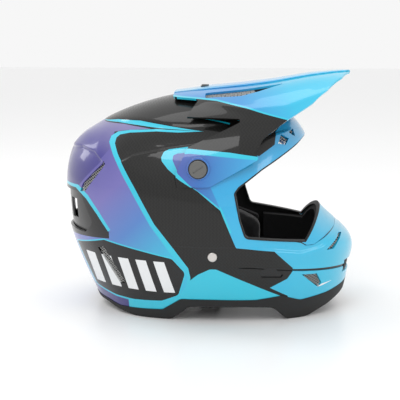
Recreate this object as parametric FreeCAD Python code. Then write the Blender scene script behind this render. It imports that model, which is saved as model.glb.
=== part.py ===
"""Motocross helmet, in millimetres.

Frame: +X points forward out of the eyeport, +Y to the wearer's left, +Z up.
The origin is under the middle of the outer box, on the surface the helmet stands on.
"""
import FreeCAD, Part
import math
import os

from FreeCAD import Vector

# ---------------------------------------------------------------- overall sizes
SHELL_LENGTH = 355.0          # nape to chin, along X
SHELL_WIDTH = 250.0           # over the ears, along Y
SHELL_HEIGHT = 263.0          # rubber edge to crown, along Z

# ---------------------------------------------------------------- walls and layers
SHELL_WALL = 3.0              # laminated shell
LINER_GAP = 0.3               # play between the shell and the liner behind it
OUTER_LINER_WALL = 12.0       # hard foam half that is bonded to the shell
ISOLATION_GAP = 5.0           # open space bridged by the dampers
INNER_LINER_WALL = 15.0       # hard foam half that carries the padding
COMFORT_WALL = 8.0            # padded fabric against the head
CLEAR = 0.4                   # free play between pieces that move past each other
SCREEN_WALL = 1.2             # wire mesh behind the vents
SCREEN_LAP = 3.0              # how far a screen reaches behind the edge of its vent
TRIM_WALL = 6.0               # rubber edge, measured across
TRIM_PROUD = 1.0              # rubber edge, beyond the shell's face
GASKET_DEPTH = 8.0            # soft edge round the eyeport, inwards from the shell's face
GASKET_PROUD = 0.5
GUARD_PROUD = 0.6             # nose guard, beyond the shell's face
PORT_WALL = 2.0               # duct plate in the back
RELIEF_DEPTH = 1.5            # grooves and recesses pressed into the shell

# ---------------------------------------------------------------- visor
VISOR_WALL = 2.6
VISOR_TILT_X = -6.0           # side screws, on the tilt axis
VISOR_TILT_Z = 184.0
SCREW_HEAD_D = 20.0
SCREW_HEAD_H = 2.6
SCREW_SHANK_D = 6.0
SCREW_PLAY = 0.1              # radial play of the visor on its screws
BOSS_D = 26.0                 # flat round pads under the screw heads
VISOR_SEAT_Y = 125.5          # outer face of the visor's pads, from the middle plane
VISOR_GAP = 1.5               # least air between the visor and the shell
INSERT_D = 12.0               # threaded inserts behind the shell
INSERT_LENGTH = 9.0
TOP_SCREW_X = -6.0
TOP_SCREW_HEAD_D = 9.0
TOP_SCREW_HEAD_H = 1.6
TOP_SLOT_TRAVEL = 12.0        # fore and aft play of the top screw in the visor's slot
TOP_LIFT = 1.4                # air above and below the visor at the top screw

# ---------------------------------------------------------------- strap
STRAP_X = 10.0                # rivets, on the swing axis
STRAP_Z = 82.0
STRAP_WIDTH = 25.0
STRAP_WALL = 1.8
STRAP_SWING_ROOM = 14.0       # space left for the strap between shell and cheek foam
STRAP_PAD_WALL = 5.0          # padded sleeves on the strap
PLATE_WALL = 2.0              # steel hangers on the rivets
PLATE_INSET = 11.0            # inner face of the hangers, from the shell's inner wall
PLATE_FOOT = 58.0             # lower end of the hangers
PLATE_SLOT_Z = 63.0           # middle of the slot that the webbing loops through
BUCKLE_Y = 62.0               # where the D-rings sit, on the wearer's left
STRAP_DROP = 75.0             # from the rivets down to the middle of the strap
RIVET_HEAD_D = 11.0
RIVET_SHANK_D = 5.0
D_RING_WIRE = 3.4
D_RING_LEAN = 62.0            # degrees from upright
STRAP_PAD_MARGIN = 3.0        # sleeves, wider than the strap on each side
STRAP_SWING = 18.0            # degrees each way
SWING_STEPS = 3               # places each way at which the room for the swing is cut

# ---------------------------------------------------------------- inside
CHEEK_FOAM_WALL = 11.0        # hard foam block behind each cheek pad
CHEEK_PAD_WALL = 24.0         # padded cheek, from the cheek foam inwards
CHIN_FOAM_WALL = 16.0
NECK_ROLL_WALL = 20.0
PAD_STUD_D = 8.0              # snap studs that hold the cheek pads
PAD_STUD_H = 1.6
DAMPER_D = 16.0
DAMPER_WAIST = 9.0
DAMPER_PLAY = 1.2             # room at the dampers' inner ends for the liner to shift
DAMPER_RINGS = [(8, 0.0, 8.0), (8, 22.5, 36.0), (4, 45.0, 62.0)]  # count, first azimuth, elevation
DAMPER_FRONT_LIMIT = 5.0      # low dampers stay behind the eyeport
CHANNEL_RISE = 40.0           # air channels run over the head, this far above the surface's centre
CHANNEL_WIDTH = 9.0
CHANNEL_DEPTH = 5.0
STUD_PLACES = [(-48, 62), (38, 60), (-4, 84)]  # in the side view
TAB_X = -52.0                 # emergency release loops under the cheek pads
TAB_WIDTH = 14.0
TAB_WALL = 1.4

# ---------------------------------------------------------------- the surface's shape
# Side outline of the outer surface in the middle plane, (x, z), for the nominal sizes.
NOMINAL = (355.0, 250.0, 263.0)
CENTRE_Z = 140.0
OUTLINE = [(-176, 176), (-178, 136), (-174, 97), (-161, 58), (-143, 18), (-105, -48), (0, -75),
           (110, -60), (166, 18), (173, 55), (177, 84), (174, 91), (155, 105), (137, 123),
           (122, 165), (117, 207), (108, 226), (86, 243), (48, 257), (3, 263), (-40, 259.5),
           (-85, 248), (-130, 228), (-165, 204)]
SKIRT_Z = -12.0               # every skin is closed on this plane, under the helmet
AROUND = 64                   # control points round the surface
DOWN = 34                     # control points from the crown to the skirt

SX = SHELL_LENGTH / NOMINAL[0]
SY = SHELL_WIDTH / NOMINAL[1]
SZ = SHELL_HEIGHT / NOMINAL[2]


def polar_outline():
    """The side outline as (angle, radius) about the surface's centre, in order of angle."""
    polar = []
    for x, z in OUTLINE:
        dx, dz = x * SX, (z - CENTRE_Z) * SZ
        polar.append((math.atan2(dz, dx) % (2 * math.pi), math.hypot(dx, dz)))
    return sorted(polar)


POLAR = polar_outline()
CZ = CENTRE_Z * SZ


def outline_radius(angle):
    """Radius of the side outline at an angle: a smooth closed curve through its points."""
    count = len(POLAR)
    turn = 2 * math.pi
    angle = (angle - POLAR[0][0]) % turn + POLAR[0][0]

    def knot(i):
        return POLAR[i % count][0] + turn * (i // count)

    def slope(i):
        before, after = knot(i) - knot(i - 1), knot(i + 1) - knot(i)
        rise_in = (POLAR[i % count][1] - POLAR[(i - 1) % count][1]) / before
        rise_out = (POLAR[(i + 1) % count][1] - POLAR[i % count][1]) / after
        return (rise_in * after + rise_out * before) / (before + after)

    i = max(k for k in range(count) if knot(k) <= angle + 1e-12)
    step = knot(i + 1) - knot(i)
    s = (angle - knot(i)) / step
    return ((2 * s**3 - 3 * s**2 + 1) * POLAR[i][1] + (s**3 - 2 * s**2 + s) * step * slope(i)
            + (3 * s**2 - 2 * s**3) * POLAR[(i + 1) % count][1] + (s**3 - s**2) * step * slope(i + 1))


def surface_point(azimuth, elevation, inset):
    """Point of the surface that lies `inset` inside the outer face, in one direction."""
    dx = math.cos(elevation) * math.cos(azimuth)
    dy = math.cos(elevation) * math.sin(azimuth)
    dz = math.sin(elevation)
    rho = math.hypot(dx, dz)
    radius = outline_radius(math.atan2(dz, dx)) - inset
    reach = 1.0 / math.hypot(rho / radius, dy / (SHELL_WIDTH / 2 - inset))
    return Vector(reach * dx, reach * dy, CZ + reach * dz)


def skirt_elevation(azimuth, inset):
    """Direction in which the surface meets the skirt plane."""
    low, high = math.radians(-89.0), 0.0
    for _ in range(40):
        middle = (low + high) / 2
        if surface_point(azimuth, middle, inset).z < SKIRT_Z:
            low = middle
        else:
            high = middle
    return high


SKINS = {}


def skin(inset):
    """Closed solid inside the helmet's surface, moved in by `inset` (out where negative)."""
    if inset in SKINS:
        return SKINS[inset]
    ends = [skirt_elevation(2 * math.pi * i / AROUND, inset) for i in range(AROUND)]
    degree = 3
    spans = DOWN - degree
    clamped = [0.0] * degree + [k / spans for k in range(spans + 1)] + [1.0] * degree
    steps = [sum(clamped[k + 1:k + 1 + degree]) / degree for k in range(DOWN)]
    rows = []
    for i in range(AROUND):
        azimuth = 2 * math.pi * i / AROUND
        row = []
        for s in steps:
            elevation = math.pi / 2 - s * (math.pi / 2 - ends[i])
            row.append(surface_point(azimuth, elevation, inset))
        row[-1].z = SKIRT_Z
        rows.append(row)
    surface = Part.BSplineSurface()
    surface.buildFromPolesMultsKnots(
        rows, [1] * (AROUND + 1), [degree + 1] + [1] * (spans - 1) + [degree + 1],
        [float(k) for k in range(AROUND + 1)], [k / spans for k in range(spans + 1)],
        True, False, degree, degree)
    side = surface.toShape()
    rim = [e for e in side.Edges if not e.Degenerated and abs(e.BoundBox.ZMax - SKIRT_Z) < 1e-3
           and e.BoundBox.ZLength < 1e-3]
    cap = Part.Face(Part.Wire(rim))
    closed = Part.makeShell([side, cap])
    closed.sewShape()
    SKINS[inset] = Part.Solid(closed)
    return SKINS[inset]


def layer(outer, inner):
    """The wall between two insets, as one hollow solid."""
    return skin(outer).cut(skin(inner))


# ---------------------------------------------------------------- cutting prisms
def corner_arc(before, corner, after, radius):
    """Start, middle and end of the round that replaces a polygon's corner."""
    to_before = (before - corner).normalize()
    to_after = (after - corner).normalize()
    half = to_before.getAngle(to_after) / 2
    reach = radius / math.tan(half)
    bisector = (to_before + to_after).normalize()
    middle = corner + bisector * (radius / math.sin(half) - radius)
    return corner + to_before * reach, middle, corner + to_after * reach


def rounded_face(points):
    """Flat face inside a polygon; a point (u, v, r) has its corner rounded to radius r."""
    corners = [Vector(p[0], p[1], 0) for p in points]
    radii = [p[2] if len(p) > 2 else 0.0 for p in points]
    edges = []
    last = None
    first = None
    for k, corner in enumerate(corners):
        if radii[k] > 0:
            start, middle, end = corner_arc(corners[k - 1], corner,
                                            corners[(k + 1) % len(corners)], radii[k])
        else:
            start = end = corner
        if first is None:
            first = start
        if last is not None and last.distanceToPoint(start) > 1e-7:
            edges.append(Part.LineSegment(last, start).toShape())
        if radii[k] > 0:
            edges.append(Part.Arc(start, middle, end).toShape())
        last = end
    if last.distanceToPoint(first) > 1e-7:
        edges.append(Part.LineSegment(last, first).toShape())
    return Part.Face(Part.Wire(edges))


SIDE_VIEW = FreeCAD.Rotation(Vector(1, 0, 0), 90)      # (u, v) is (x, z)
FRONT_VIEW = FreeCAD.Rotation(Vector(0, 1, 0), Vector(0, 0, 1), Vector(1, 0, 0), "XYZ")
FAR = 400.0


def prism(face, rotation, start, end):
    """A flat face turned into a view and extruded across the helmet from start to end."""
    solid = face.extrude(Vector(0, 0, end - start))
    solid.translate(Vector(0, 0, start))
    solid.Placement = FreeCAD.Placement(Vector(), rotation).multiply(solid.Placement)
    return solid


def place(points):
    """Nominal side view points, moved to where the overall sizes put them."""
    return [(p[0] * SX, p[1] * SZ) + tuple(p[2:]) for p in points]


def side_prism(points, near=-FAR, far=FAR):
    """Cut seen from the side: points are nominal (x, z), near and far are along Y."""
    return prism(rounded_face(place(points)), SIDE_VIEW, -far, -near)


def side_pair(points, gap=0.0):
    """The same side view outline on both sides of the helmet, as two prisms."""
    face = rounded_face(place(points))
    return [prism(face, SIDE_VIEW, gap, FAR), prism(face, SIDE_VIEW, -FAR, -gap)]


def plan_prism(points, low=-FAR, high=FAR):
    """Cut seen from above: points are nominal (x, y)."""
    return prism(rounded_face([(p[0] * SX, p[1] * SY) + tuple(p[2:]) for p in points]),
                 FreeCAD.Rotation(), low, high)


def grown(points, margin):
    """Nominal points pushed outwards from the middle of their outline by a margin."""
    cu = sum(p[0] for p in points) / len(points)
    cv = sum(p[1] for p in points) / len(points)
    out = []
    for p in points:
        d = math.hypot(p[0] - cu, p[1] - cv)
        out.append((p[0] + (p[0] - cu) / d * margin, p[1] + (p[1] - cv) / d * margin))
    return out


def both_sides(shape):
    """A shape and its mirror image across the middle plane."""
    return [shape, shape.mirror(Vector(0, 0, 0), Vector(0, 1, 0))]


def pin(radius, x, z, y_in, y_out, side):
    """Round bar along Y on one side: side is -1 for the wearer's right, +1 for the left."""
    return Part.makeCylinder(radius, y_out - y_in, Vector(x, side * y_in, z), Vector(0, side, 0))


# ---------------------------------------------------------------- outlines in the side view
# Eyeport: up the nose guard, out of the front, down the brow and the cheek edge.
EYEPORT = [(117, 95.5), (136, 124), (230, 150), (230, 212), (115, 212, 6), (106, 206, 12),
           (65, 182, 30), (39, 163, 9), (34, 156, 5), (40, 125, 40), (47, 103.5, 7)]
EYEPORT_GASKET = [(115.8, 97), (135, 125.4), (240, 154), (240, 210.4), (114.2, 210.4, 6),
                  (105.3, 204, 12), (65.5, 180.2, 30), (40.6, 161.7, 8), (35.8, 155.6, 5),
                  (41.6, 125, 40), (48.3, 105, 6)]
NOSE_GUARD = [(110, 97.5), (118, 92, 3), (126, 91.8, 6), (152, 104.5, 4), (163, 116), (142, 134),
              (128, 114)]
# Lower edge of the shell, from the nape to the chin, and of the rubber below it.
SHELL_EDGE = [(-150, 16), (-120, 14), (-104, 10, 6), (-50, 13, 8), (-28, 28, 8), (20, 28),
              (60, 28, 20), (90, 32, 12), (112, 24, 10), (143, 28), (175, 36)]
TRIM_EDGE = [(-150, 11), (-122, 10, 6), (-104, 4, 10), (-84, 0, 12), (-40, 0, 12), (-18, 18, 10),
             (47, 19, 20), (80, 17, 12), (96, 0, 8), (119, 0, 12), (147, 12, 20), (175, 27)]
TRIM_LAP = 3.0                # how far the shell's edge reaches down into the rubber

CHEEK_GROOVE = [(-24, 70), (58, 67.4), (168, 52), (168, 57.5), (58, 69.6)]
MOUTH_HALF_WIDTH = 38.0       # mouth vent, across the front of the chin bar
MOUTH_LOW = 47.5
MOUTH_HIGH = 62.5
MOUTH_BAYS = 5
CHIN_UPPER_VENT = [(141, 83), (150, 82.5), (161, 96.5), (157, 98)]
CHIN_SIDE_VENT = [(113, 56.5), (123, 55.5), (131, 55), (137, 42, 2), (133, 37)]
CHEEK_RECESS = [(63, 66.5), (83, 65), (91, 58), (89, 55), (66, 56.5)]
BROW_VENT = [(83, 208), (86, 217.5), (95.5, 212), (91, 205.5)]
BROW_VENT_INNER = [(95, 219), (101, 222), (103, 213)]
REAR_UPPER_VENT = [(-151, 148), (-147, 158), (-127, 179), (-119, 187), (-117, 184), (-144, 149)]
REAR_LOWER_VENT = [(-129, 82), (-121, 85), (-105, 60), (-94, 42), (-102, 41)]
REAR_PORT = [(-200, 147), (-152, 147, 6), (-134, 112, 8), (-146, 98, 4), (-200, 101)]
VISOR_TAB = [(-34, 176), (-31, 162), (-10, 162), (-14, 170)]
VENT_PAIRS = [CHIN_UPPER_VENT, CHIN_SIDE_VENT, BROW_VENT, BROW_VENT_INNER, REAR_UPPER_VENT,
              REAR_LOWER_VENT]
BROW_VENTS = [BROW_VENT, BROW_VENT_INNER]
BROW_VENT_GAP = 36.0          # brow vents start this far from the middle plane
SIDE_VENT_GAP = 20.0          # and the other vents this far
SCREEN_DEPTH = 0.2            # play between a screen and the shell before it


def above(edge, lift=0.0, top=320.0):
    """Everything above an edge line that runs from the nape to the chin."""
    line = [(p[0], p[1] + lift) + tuple(p[2:]) for p in edge]
    return side_prism([(-230, top), (-230, line[0][1])] + line + [(230, line[-1][1]), (230, top)])


def front_slot(half_width, low, high, start, end):
    """Straight slot through the front of the chin bar."""
    return Part.makeBox(end - start, 2 * half_width * SY, (high - low) * SZ,
                        Vector(start, -half_width * SY, low * SZ))


# ---------------------------------------------------------------- shell and its edge
def half_width(x, z, inset):
    """Distance from the middle plane to the surface at a place in the side view."""
    dx, dz = x * SX, z * SZ - CZ
    share = math.hypot(dx, dz) / (outline_radius(math.atan2(dz, dx)) - inset)
    return (SHELL_WIDTH / 2 - inset) * math.sqrt(1.0 - share**2)


VISOR_SEAT = VISOR_SEAT_Y * SY
BOSS_TOP = VISOR_SEAT - VISOR_WALL - CLEAR
BOSS_ROOT = BOSS_TOP - INSERT_LENGTH - 4.0
PIVOT_X = VISOR_TILT_X * SX
PIVOT_Z = VISOR_TILT_Z * SZ
RIVET_X = STRAP_X * SX
RIVET_Z = STRAP_Z * SZ
RIVET_FACE = half_width(STRAP_X, STRAP_Z, 0.0) - 0.8
TOP_X = TOP_SCREW_X * SX


def rubber_edge(shell_solid):
    """Black moulding round the bottom of the shell, with the flats the helmet stands on."""
    band = layer(-TRIM_PROUD, TRIM_WALL).common(above(TRIM_EDGE))
    return band.cut([above(SHELL_EDGE), shell_solid])


def shell():
    """Laminated shell with its openings, recesses and screw bosses."""
    body = layer(0.0, SHELL_WALL).common(above(SHELL_EDGE, -TRIM_LAP))
    bosses = [pin(BOSS_D / 2 - VISOR_WALL - CLEAR, PIVOT_X, PIVOT_Z, BOSS_ROOT, BOSS_TOP, side)
              for side in (-1, 1)]
    top_boss = Part.makeCylinder(TOP_SCREW_HEAD_D / 2, 14.0,
                                 Vector(TOP_X, 0, VISOR_UNDER_TOP - TOP_LIFT - 14.0))
    body = body.fuse(bosses + [top_boss])
    cuts = [side_prism(EYEPORT), side_prism(NOSE_GUARD), side_prism(REAR_PORT), mouth_slot()]
    for outline in VENT_PAIRS:
        cuts += side_pair(outline, BROW_VENT_GAP if outline in BROW_VENTS else SIDE_VENT_GAP)
    for side in (-1, 1):
        cuts.append(pin(INSERT_D / 2, PIVOT_X, PIVOT_Z, BOSS_ROOT - 1, BOSS_ROOT + INSERT_LENGTH, side))
        cuts.append(pin(SCREW_SHANK_D / 2, PIVOT_X, PIVOT_Z, BOSS_ROOT - 1, FAR, side))
        cuts.append(pin(RIVET_SHANK_D / 2, RIVET_X, RIVET_Z, 60, FAR, side))
        cuts.append(pin(RIVET_HEAD_D / 2 + 0.2, RIVET_X, RIVET_Z, RIVET_FACE, FAR, side))
    cuts.append(Part.makeCylinder(SCREW_SHANK_D / 2, 60.0, Vector(TOP_X, 0, VISOR_UNDER_TOP - 40)))
    relief = skin(-5.0).cut(skin(RELIEF_DEPTH))
    dents = []
    for outline in (CHEEK_GROOVE, CHEEK_RECESS, VISOR_TAB):
        dents += side_pair(outline, 30.0)
    return body.cut(cuts).cut(relief.common(Part.makeCompound(dents)))


def mouth_slot(spare=0.0):
    """The mouth vent's opening, with some spare room all round."""
    half, low, high = MOUTH_HALF_WIDTH + spare, MOUTH_LOW - spare, MOUTH_HIGH + spare
    return front_slot(half, low, high, 100.0, 220.0)


def behind(outline, depth, wall, gap, lap):
    """A pair of plates behind the shell that cover a vent with a lap all round."""
    start = SHELL_WALL + depth
    covers = side_pair(grown(outline, lap), gap)
    return layer(start, start + wall).common(Part.makeCompound(covers)).Solids


def screens(*outlines):
    """Wire mesh behind a set of vents."""
    solids = []
    for outline in outlines:
        gap = BROW_VENT_GAP if outline in BROW_VENTS else SIDE_VENT_GAP
        solids += behind(outline, SCREEN_DEPTH, SCREEN_WALL, gap - SCREEN_LAP, SCREEN_LAP)
    return solids


def rear_upper_screens():
    """Wire mesh behind the upper exhaust vents, clear of the duct plate below them."""
    port = side_prism(grown_port(CLEAR))
    return [largest(screen.cut(port)) for screen in screens(REAR_UPPER_VENT)]


def nose_guard():
    """Moulded guard along the top of the chin bar, set into the shell."""
    guard = layer(-GUARD_PROUD, SHELL_WALL).common(side_prism(NOSE_GUARD))
    return guard.cut(side_prism(EYEPORT))


def gasket():
    """Soft edging round the eyeport."""
    ring = side_prism(EYEPORT).cut(side_prism(EYEPORT_GASKET))
    return layer(-GASKET_PROUD, GASKET_DEPTH).common(ring)


def rear_port():
    """Black duct plate in the back of the shell, with two outlets each side."""
    start = SHELL_WALL + SCREEN_DEPTH
    plate = layer(start, start + PORT_WALL).common(side_prism(grown_port()))
    outlets = []
    for y in (-42, -15, 15, 42):
        outlets.append(Part.makeBox(80, 18 * SY, 24 * SZ, Vector(-230 * SX, (y - 9) * SY, 112 * SZ)))
    return plate.cut(outlets)


def grown_port(spare=0.0):
    """The rear port's outline with the lap that seats behind the shell, and some spare room."""
    lap = SCREEN_LAP + spare
    return [(-220, 147 + lap), (-152 + lap, 147 + lap), (-134 + lap, 112), (-146 + lap, 98 - lap),
            (-220, 101 - lap)]


def mouth_grille():
    """Louvred plug of the mouth vent."""
    plug = layer(1.5, SHELL_WALL + 7.0).common(mouth_slot(-0.2))
    gaps = []
    pitch = 2 * MOUTH_HALF_WIDTH / MOUTH_BAYS
    for k in range(MOUTH_BAYS):
        centre = -MOUTH_HALF_WIDTH + pitch * (k + 0.5)
        gaps.append(Part.makeBox(120, (pitch - 3.0) * SY, (MOUTH_HIGH - MOUTH_LOW - 5.0) * SZ,
                                 Vector(100, (centre - pitch / 2 + 1.5) * SY, (MOUTH_LOW + 2.5) * SZ)))
    return plug.cut(gaps)


# ---------------------------------------------------------------- visor
# Stations along X: crest height, half width at the arch's foot, squareness of the arch.
VISOR_STATIONS = [(-75, 256.5, 126.5, 2.25), (-40, 263.8, 127, 2.25), (0, 268.8, 127, 2.3),
                  (40, 272.6, 125, 2.4), (80, 277.6, 117, 2.55), (120, 284.3, 106, 2.7),
                  (150, 287.2, 100, 2.75), (190, 289.5, 95, 2.8)]
VISOR_FOOT_Z = 140.0
# Side outline: rear lobe, scoop, arm, then the front edge out to the tip.
VISOR_SIDE = [(-60, 300), (-60, 240), (38, 238), (43, 236, 2), (29, 229, 4), (-19, 207, 6),
              (-32, 177, 8), (-28, 163, 6), (7, 163.5, 12), (64, 195.5, 3), (57, 200, 3), (67, 217, 10),
              (92, 236, 30), (140, 266, 20), (172, 285), (195, 300)]
# Seen from above: what is trimmed off behind, and in front of the tip.
VISOR_REAR_TRIM = [(-110, -99), (-27, -99, 5), (-9, -60, 6), (-42, -42, 8), (-42, 42, 8),
                   (-9, 60, 6), (-27, 99, 5), (-110, 99)]
VISOR_FRONT_TRIM = [(230, 99), (98, 99), (139, 66, 8), (157, 42, 12), (170, 0, 9), (157, -42, 12),
                    (139, -66, 8), (98, -99), (230, -99)]
VISOR_SLOT = [(-3, 44, 2), (-2, 60, 3), (40, 62, 3), (60, 56, 3), (92, 40, 1), (45, 44, 4)]


def arch(x, crest, half, squareness, inset):
    """Closed section of the visor's arch at one station, moved in by `inset`."""
    height = (crest - VISOR_FOOT_Z) * SZ - inset
    width = half * SY - inset
    points = []
    for k in range(21):
        t = math.pi * k / 20
        c, s = math.cos(t), math.sin(t)
        points.append(Vector(x * SX, math.copysign(abs(c)**(2 / squareness), c) * width,
                             VISOR_FOOT_Z * SZ + s**(2 / squareness) * height))
    curve = Part.BSplineCurve()
    curve.interpolate(points)
    foot = Part.LineSegment(points[-1], points[0])
    return Part.Wire([curve.toShape(), foot.toShape()])


def arch_block(inset):
    """Solid under the visor's surface."""
    return Part.makeLoft([arch(*station, inset) for station in VISOR_STATIONS], True)


def visor_height(x):
    """Height of the visor's outer face over the middle plane, between two stations."""
    for (x0, z0, _, _), (x1, z1, _, _) in zip(VISOR_STATIONS, VISOR_STATIONS[1:]):
        if x0 <= x <= x1:
            return (z0 + (z1 - z0) * (x - x0) / (x1 - x0)) * SZ
    raise ValueError("outside the visor")


VISOR_TOP = visor_height(TOP_SCREW_X)
VISOR_UNDER_TOP = VISOR_TOP - VISOR_WALL


def stadium(x, width, travel, low, high):
    """Upright slot along X with round ends."""
    core = Part.makeBox(travel, width, high - low, Vector(x - travel / 2, -width / 2, low))
    ends = [Part.makeCylinder(width / 2, high - low, Vector(x + d * travel / 2, 0, low))
            for d in (-1, 1)]
    return core.fuse(ends)


def visor():
    """Peak with its arms, scoops, slots and round screw pads."""
    cups = [pin(BOSS_D / 2, PIVOT_X, PIVOT_Z, VISOR_SEAT - 14.0, VISOR_SEAT, side)
            for side in (-1, 1)]
    body = arch_block(0.0).cut(arch_block(VISOR_WALL)).common(side_prism(VISOR_SIDE))
    slots = [plan_prism(VISOR_SLOT, 200, FAR),
             plan_prism([(p[0], -p[1]) + tuple(p[2:]) for p in VISOR_SLOT], 200, FAR)]
    body = body.cut([plan_prism(VISOR_REAR_TRIM), plan_prism(VISOR_FRONT_TRIM)] + slots).fuse(cups)
    cuts = [skin(-VISOR_GAP)]
    for side in (-1, 1):
        cuts.append(pin(BOSS_D / 2 - VISOR_WALL, PIVOT_X, PIVOT_Z, 60, VISOR_SEAT - VISOR_WALL, side))
        cuts.append(pin(SCREW_SHANK_D / 2 + SCREW_PLAY, PIVOT_X, PIVOT_Z, 60, FAR, side))
    cuts.append(stadium(TOP_X, SCREW_SHANK_D + 0.6, TOP_SLOT_TRAVEL, 200, FAR))
    return largest(body.cut(cuts))


def largest(shape):
    """The biggest solid of a shape, without the crumbs a cut leaves."""
    return max(shape.Solids, key=lambda solid: solid.Volume)


def visor_screens():
    """Wire mesh under the visor's two slots."""
    under = arch_block(VISOR_WALL).cut(arch_block(VISOR_WALL + 1.0))
    area = [(-6, 41), (-5, 63), (40, 65), (66, 58), (60, 41)]
    pair = [plan_prism(area, 200, FAR), plan_prism([(x, -y) for x, y in area], 200, FAR)]
    return under.common(Part.makeCompound(pair)).cut(skin(-VISOR_GAP)).Solids


def side_screw(side):
    """Large flat screw that holds one arm of the visor."""
    screw = pin(SCREW_HEAD_D / 2, PIVOT_X, PIVOT_Z, VISOR_SEAT + 0.1, VISOR_SEAT + SCREW_HEAD_H, side)
    edges = [e for e in screw.Edges if abs(abs(e.CenterOfMass.y) - VISOR_SEAT - SCREW_HEAD_H) < 1e-6]
    screw = screw.makeFillet(0.9, edges)
    screw = screw.fuse(pin(SCREW_SHANK_D / 2, PIVOT_X, PIVOT_Z, BOSS_ROOT + 1, VISOR_SEAT + 1, side))
    y = side * (VISOR_SEAT + SCREW_HEAD_H)
    slot = Part.makeBox(13.0, 2.4, 2.0, Vector(PIVOT_X - 6.5, y - 1.2, PIVOT_Z - 1.0))
    slot.rotate(Vector(PIVOT_X, 0, PIVOT_Z), Vector(0, 1, 0), -35)
    return screw.cut(slot)


def inserts():
    """Threaded inserts that the visor's screws turn into."""
    solids = []
    for side in (-1, 1):
        sleeve = pin(INSERT_D / 2, PIVOT_X, PIVOT_Z, BOSS_ROOT, BOSS_ROOT + INSERT_LENGTH, side)
        solids.append(sleeve.cut(pin(SCREW_SHANK_D / 2, PIVOT_X, PIVOT_Z, 60, FAR, side)))
    return solids


def top_screw():
    """Screw on the crown that locks the visor's tilt."""
    low = VISOR_UNDER_TOP - TOP_LIFT - 12.0
    head = VISOR_TOP + TOP_LIFT
    shank = Part.makeCylinder(SCREW_SHANK_D / 2 - 0.02, head - low, Vector(TOP_X, 0, low))
    screw = shank.fuse(Part.makeCylinder(TOP_SCREW_HEAD_D / 2, TOP_SCREW_HEAD_H, Vector(TOP_X, 0, head)))
    slot = Part.makeBox(9.0, 1.6, 1.0, Vector(TOP_X - 4.5, -0.8, head + TOP_SCREW_HEAD_H - 0.7))
    return screw.cut(slot)


# ---------------------------------------------------------------- liners and dampers
OUTER_LINER_FACE = SHELL_WALL + LINER_GAP
OUTER_LINER_BACK = OUTER_LINER_FACE + OUTER_LINER_WALL
INNER_LINER_FACE = OUTER_LINER_BACK + ISOLATION_GAP
INNER_LINER_BACK = INNER_LINER_FACE + INNER_LINER_WALL
COMFORT_BACK = INNER_LINER_BACK + COMFORT_WALL
CHEEK_FOAM_FACE = SHELL_WALL + STRAP_SWING_ROOM
CHEEK_FOAM_BACK = CHEEK_FOAM_FACE + CHEEK_FOAM_WALL
CHEEK_PAD_FACE = CHEEK_FOAM_BACK + CLEAR
CHEEK_PAD_BACK = CHEEK_PAD_FACE + CHEEK_PAD_WALL

OUTER_LINER_AREA = [(-230, 330), (-230, 34), (-92, 34, 8), (-74, 106, 14), (29, 106, 4), (29, 158, 8),
                    (62, 188, 20), (100, 213, 10), (230, 216), (230, 330)]
INNER_LINER_AREA = [(-230, 330), (-230, 62), (-92, 62, 8), (-78, 110, 10), (24, 110, 8), (22, 158, 8),
                    (58, 192, 20), (94, 216, 10), (230, 219), (230, 330)]
COMFORT_AREA = [(-230, 330), (-230, 64), (-94, 64, 8), (-80, 111, 10), (23, 111, 8), (21, 158, 8),
                (56, 193, 20), (90, 218, 10), (230, 221), (230, 330)]
NECK_ROLL_AREA = [(-230, 20), (-98, 20, 6), (-88, 36, 6), (-94, 58, 6), (-230, 58)]
CHEEK_FOAM_AREA = [(-72, 102, 6), (-78, 40, 8), (-40, 34, 8), (40, 34, 8), (60, 42, 6), (60, 92, 6),
                   (30, 102, 8)]
CHEEK_PAD_AREA = [(-74, 100, 12), (-78, 44, 12), (-40, 33, 12), (40, 33, 12), (60, 44, 10),
                  (62, 88, 12), (34, 101, 10)]
CHIN_FOAM_AREA = [(66, 36), (90, 36), (112, 30), (143, 34), (230, 42), (230, 150), (134, 121),
                  (117, 93), (66, 93)]


def outer_liner():
    """Outer half of the crash liner, bonded into the shell."""
    body = layer(OUTER_LINER_FACE, OUTER_LINER_BACK).common(side_prism(OUTER_LINER_AREA))
    cuts = [side_prism(grown_port())]
    for outline in (BROW_VENT, REAR_UPPER_VENT, REAR_LOWER_VENT):
        cuts += side_pair(grown(outline, SCREEN_LAP + 0.3), 16.0)
    cuts += side_pair(grown(BROW_VENT_INNER, SCREEN_LAP + 0.3), 16.0)
    cuts += [pin(BOSS_D / 2, PIVOT_X, PIVOT_Z, BOSS_ROOT - 0.5, FAR, side) for side in (-1, 1)]
    cuts.append(Part.makeCylinder(TOP_SCREW_HEAD_D / 2 + 0.3, 60.0, Vector(TOP_X, 0, VISOR_UNDER_TOP - 20)))
    return largest(body.cut(cuts))


def inner_liner():
    """Inner half of the crash liner, which shifts on the dampers."""
    body = layer(INNER_LINER_FACE, INNER_LINER_BACK).common(side_prism(INNER_LINER_AREA))
    channels = []
    for y in (-44, -15, 15, 44):
        corner = Vector(-150 * SX, y * SY - CHANNEL_WIDTH / 2, CZ + CHANNEL_RISE * SZ)
        channels.append(Part.makeBox(210 * SX, CHANNEL_WIDTH, 120, corner))
    return body.cut([c.common(skin(INNER_LINER_BACK - CHANNEL_DEPTH)) for c in channels])


def direction(azimuth, elevation):
    """Unit vector at an azimuth from the nose and an elevation, in degrees."""
    a, e = math.radians(azimuth), math.radians(elevation)
    return Vector(math.cos(e) * math.cos(a), math.cos(e) * math.sin(a), math.sin(e))


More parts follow.
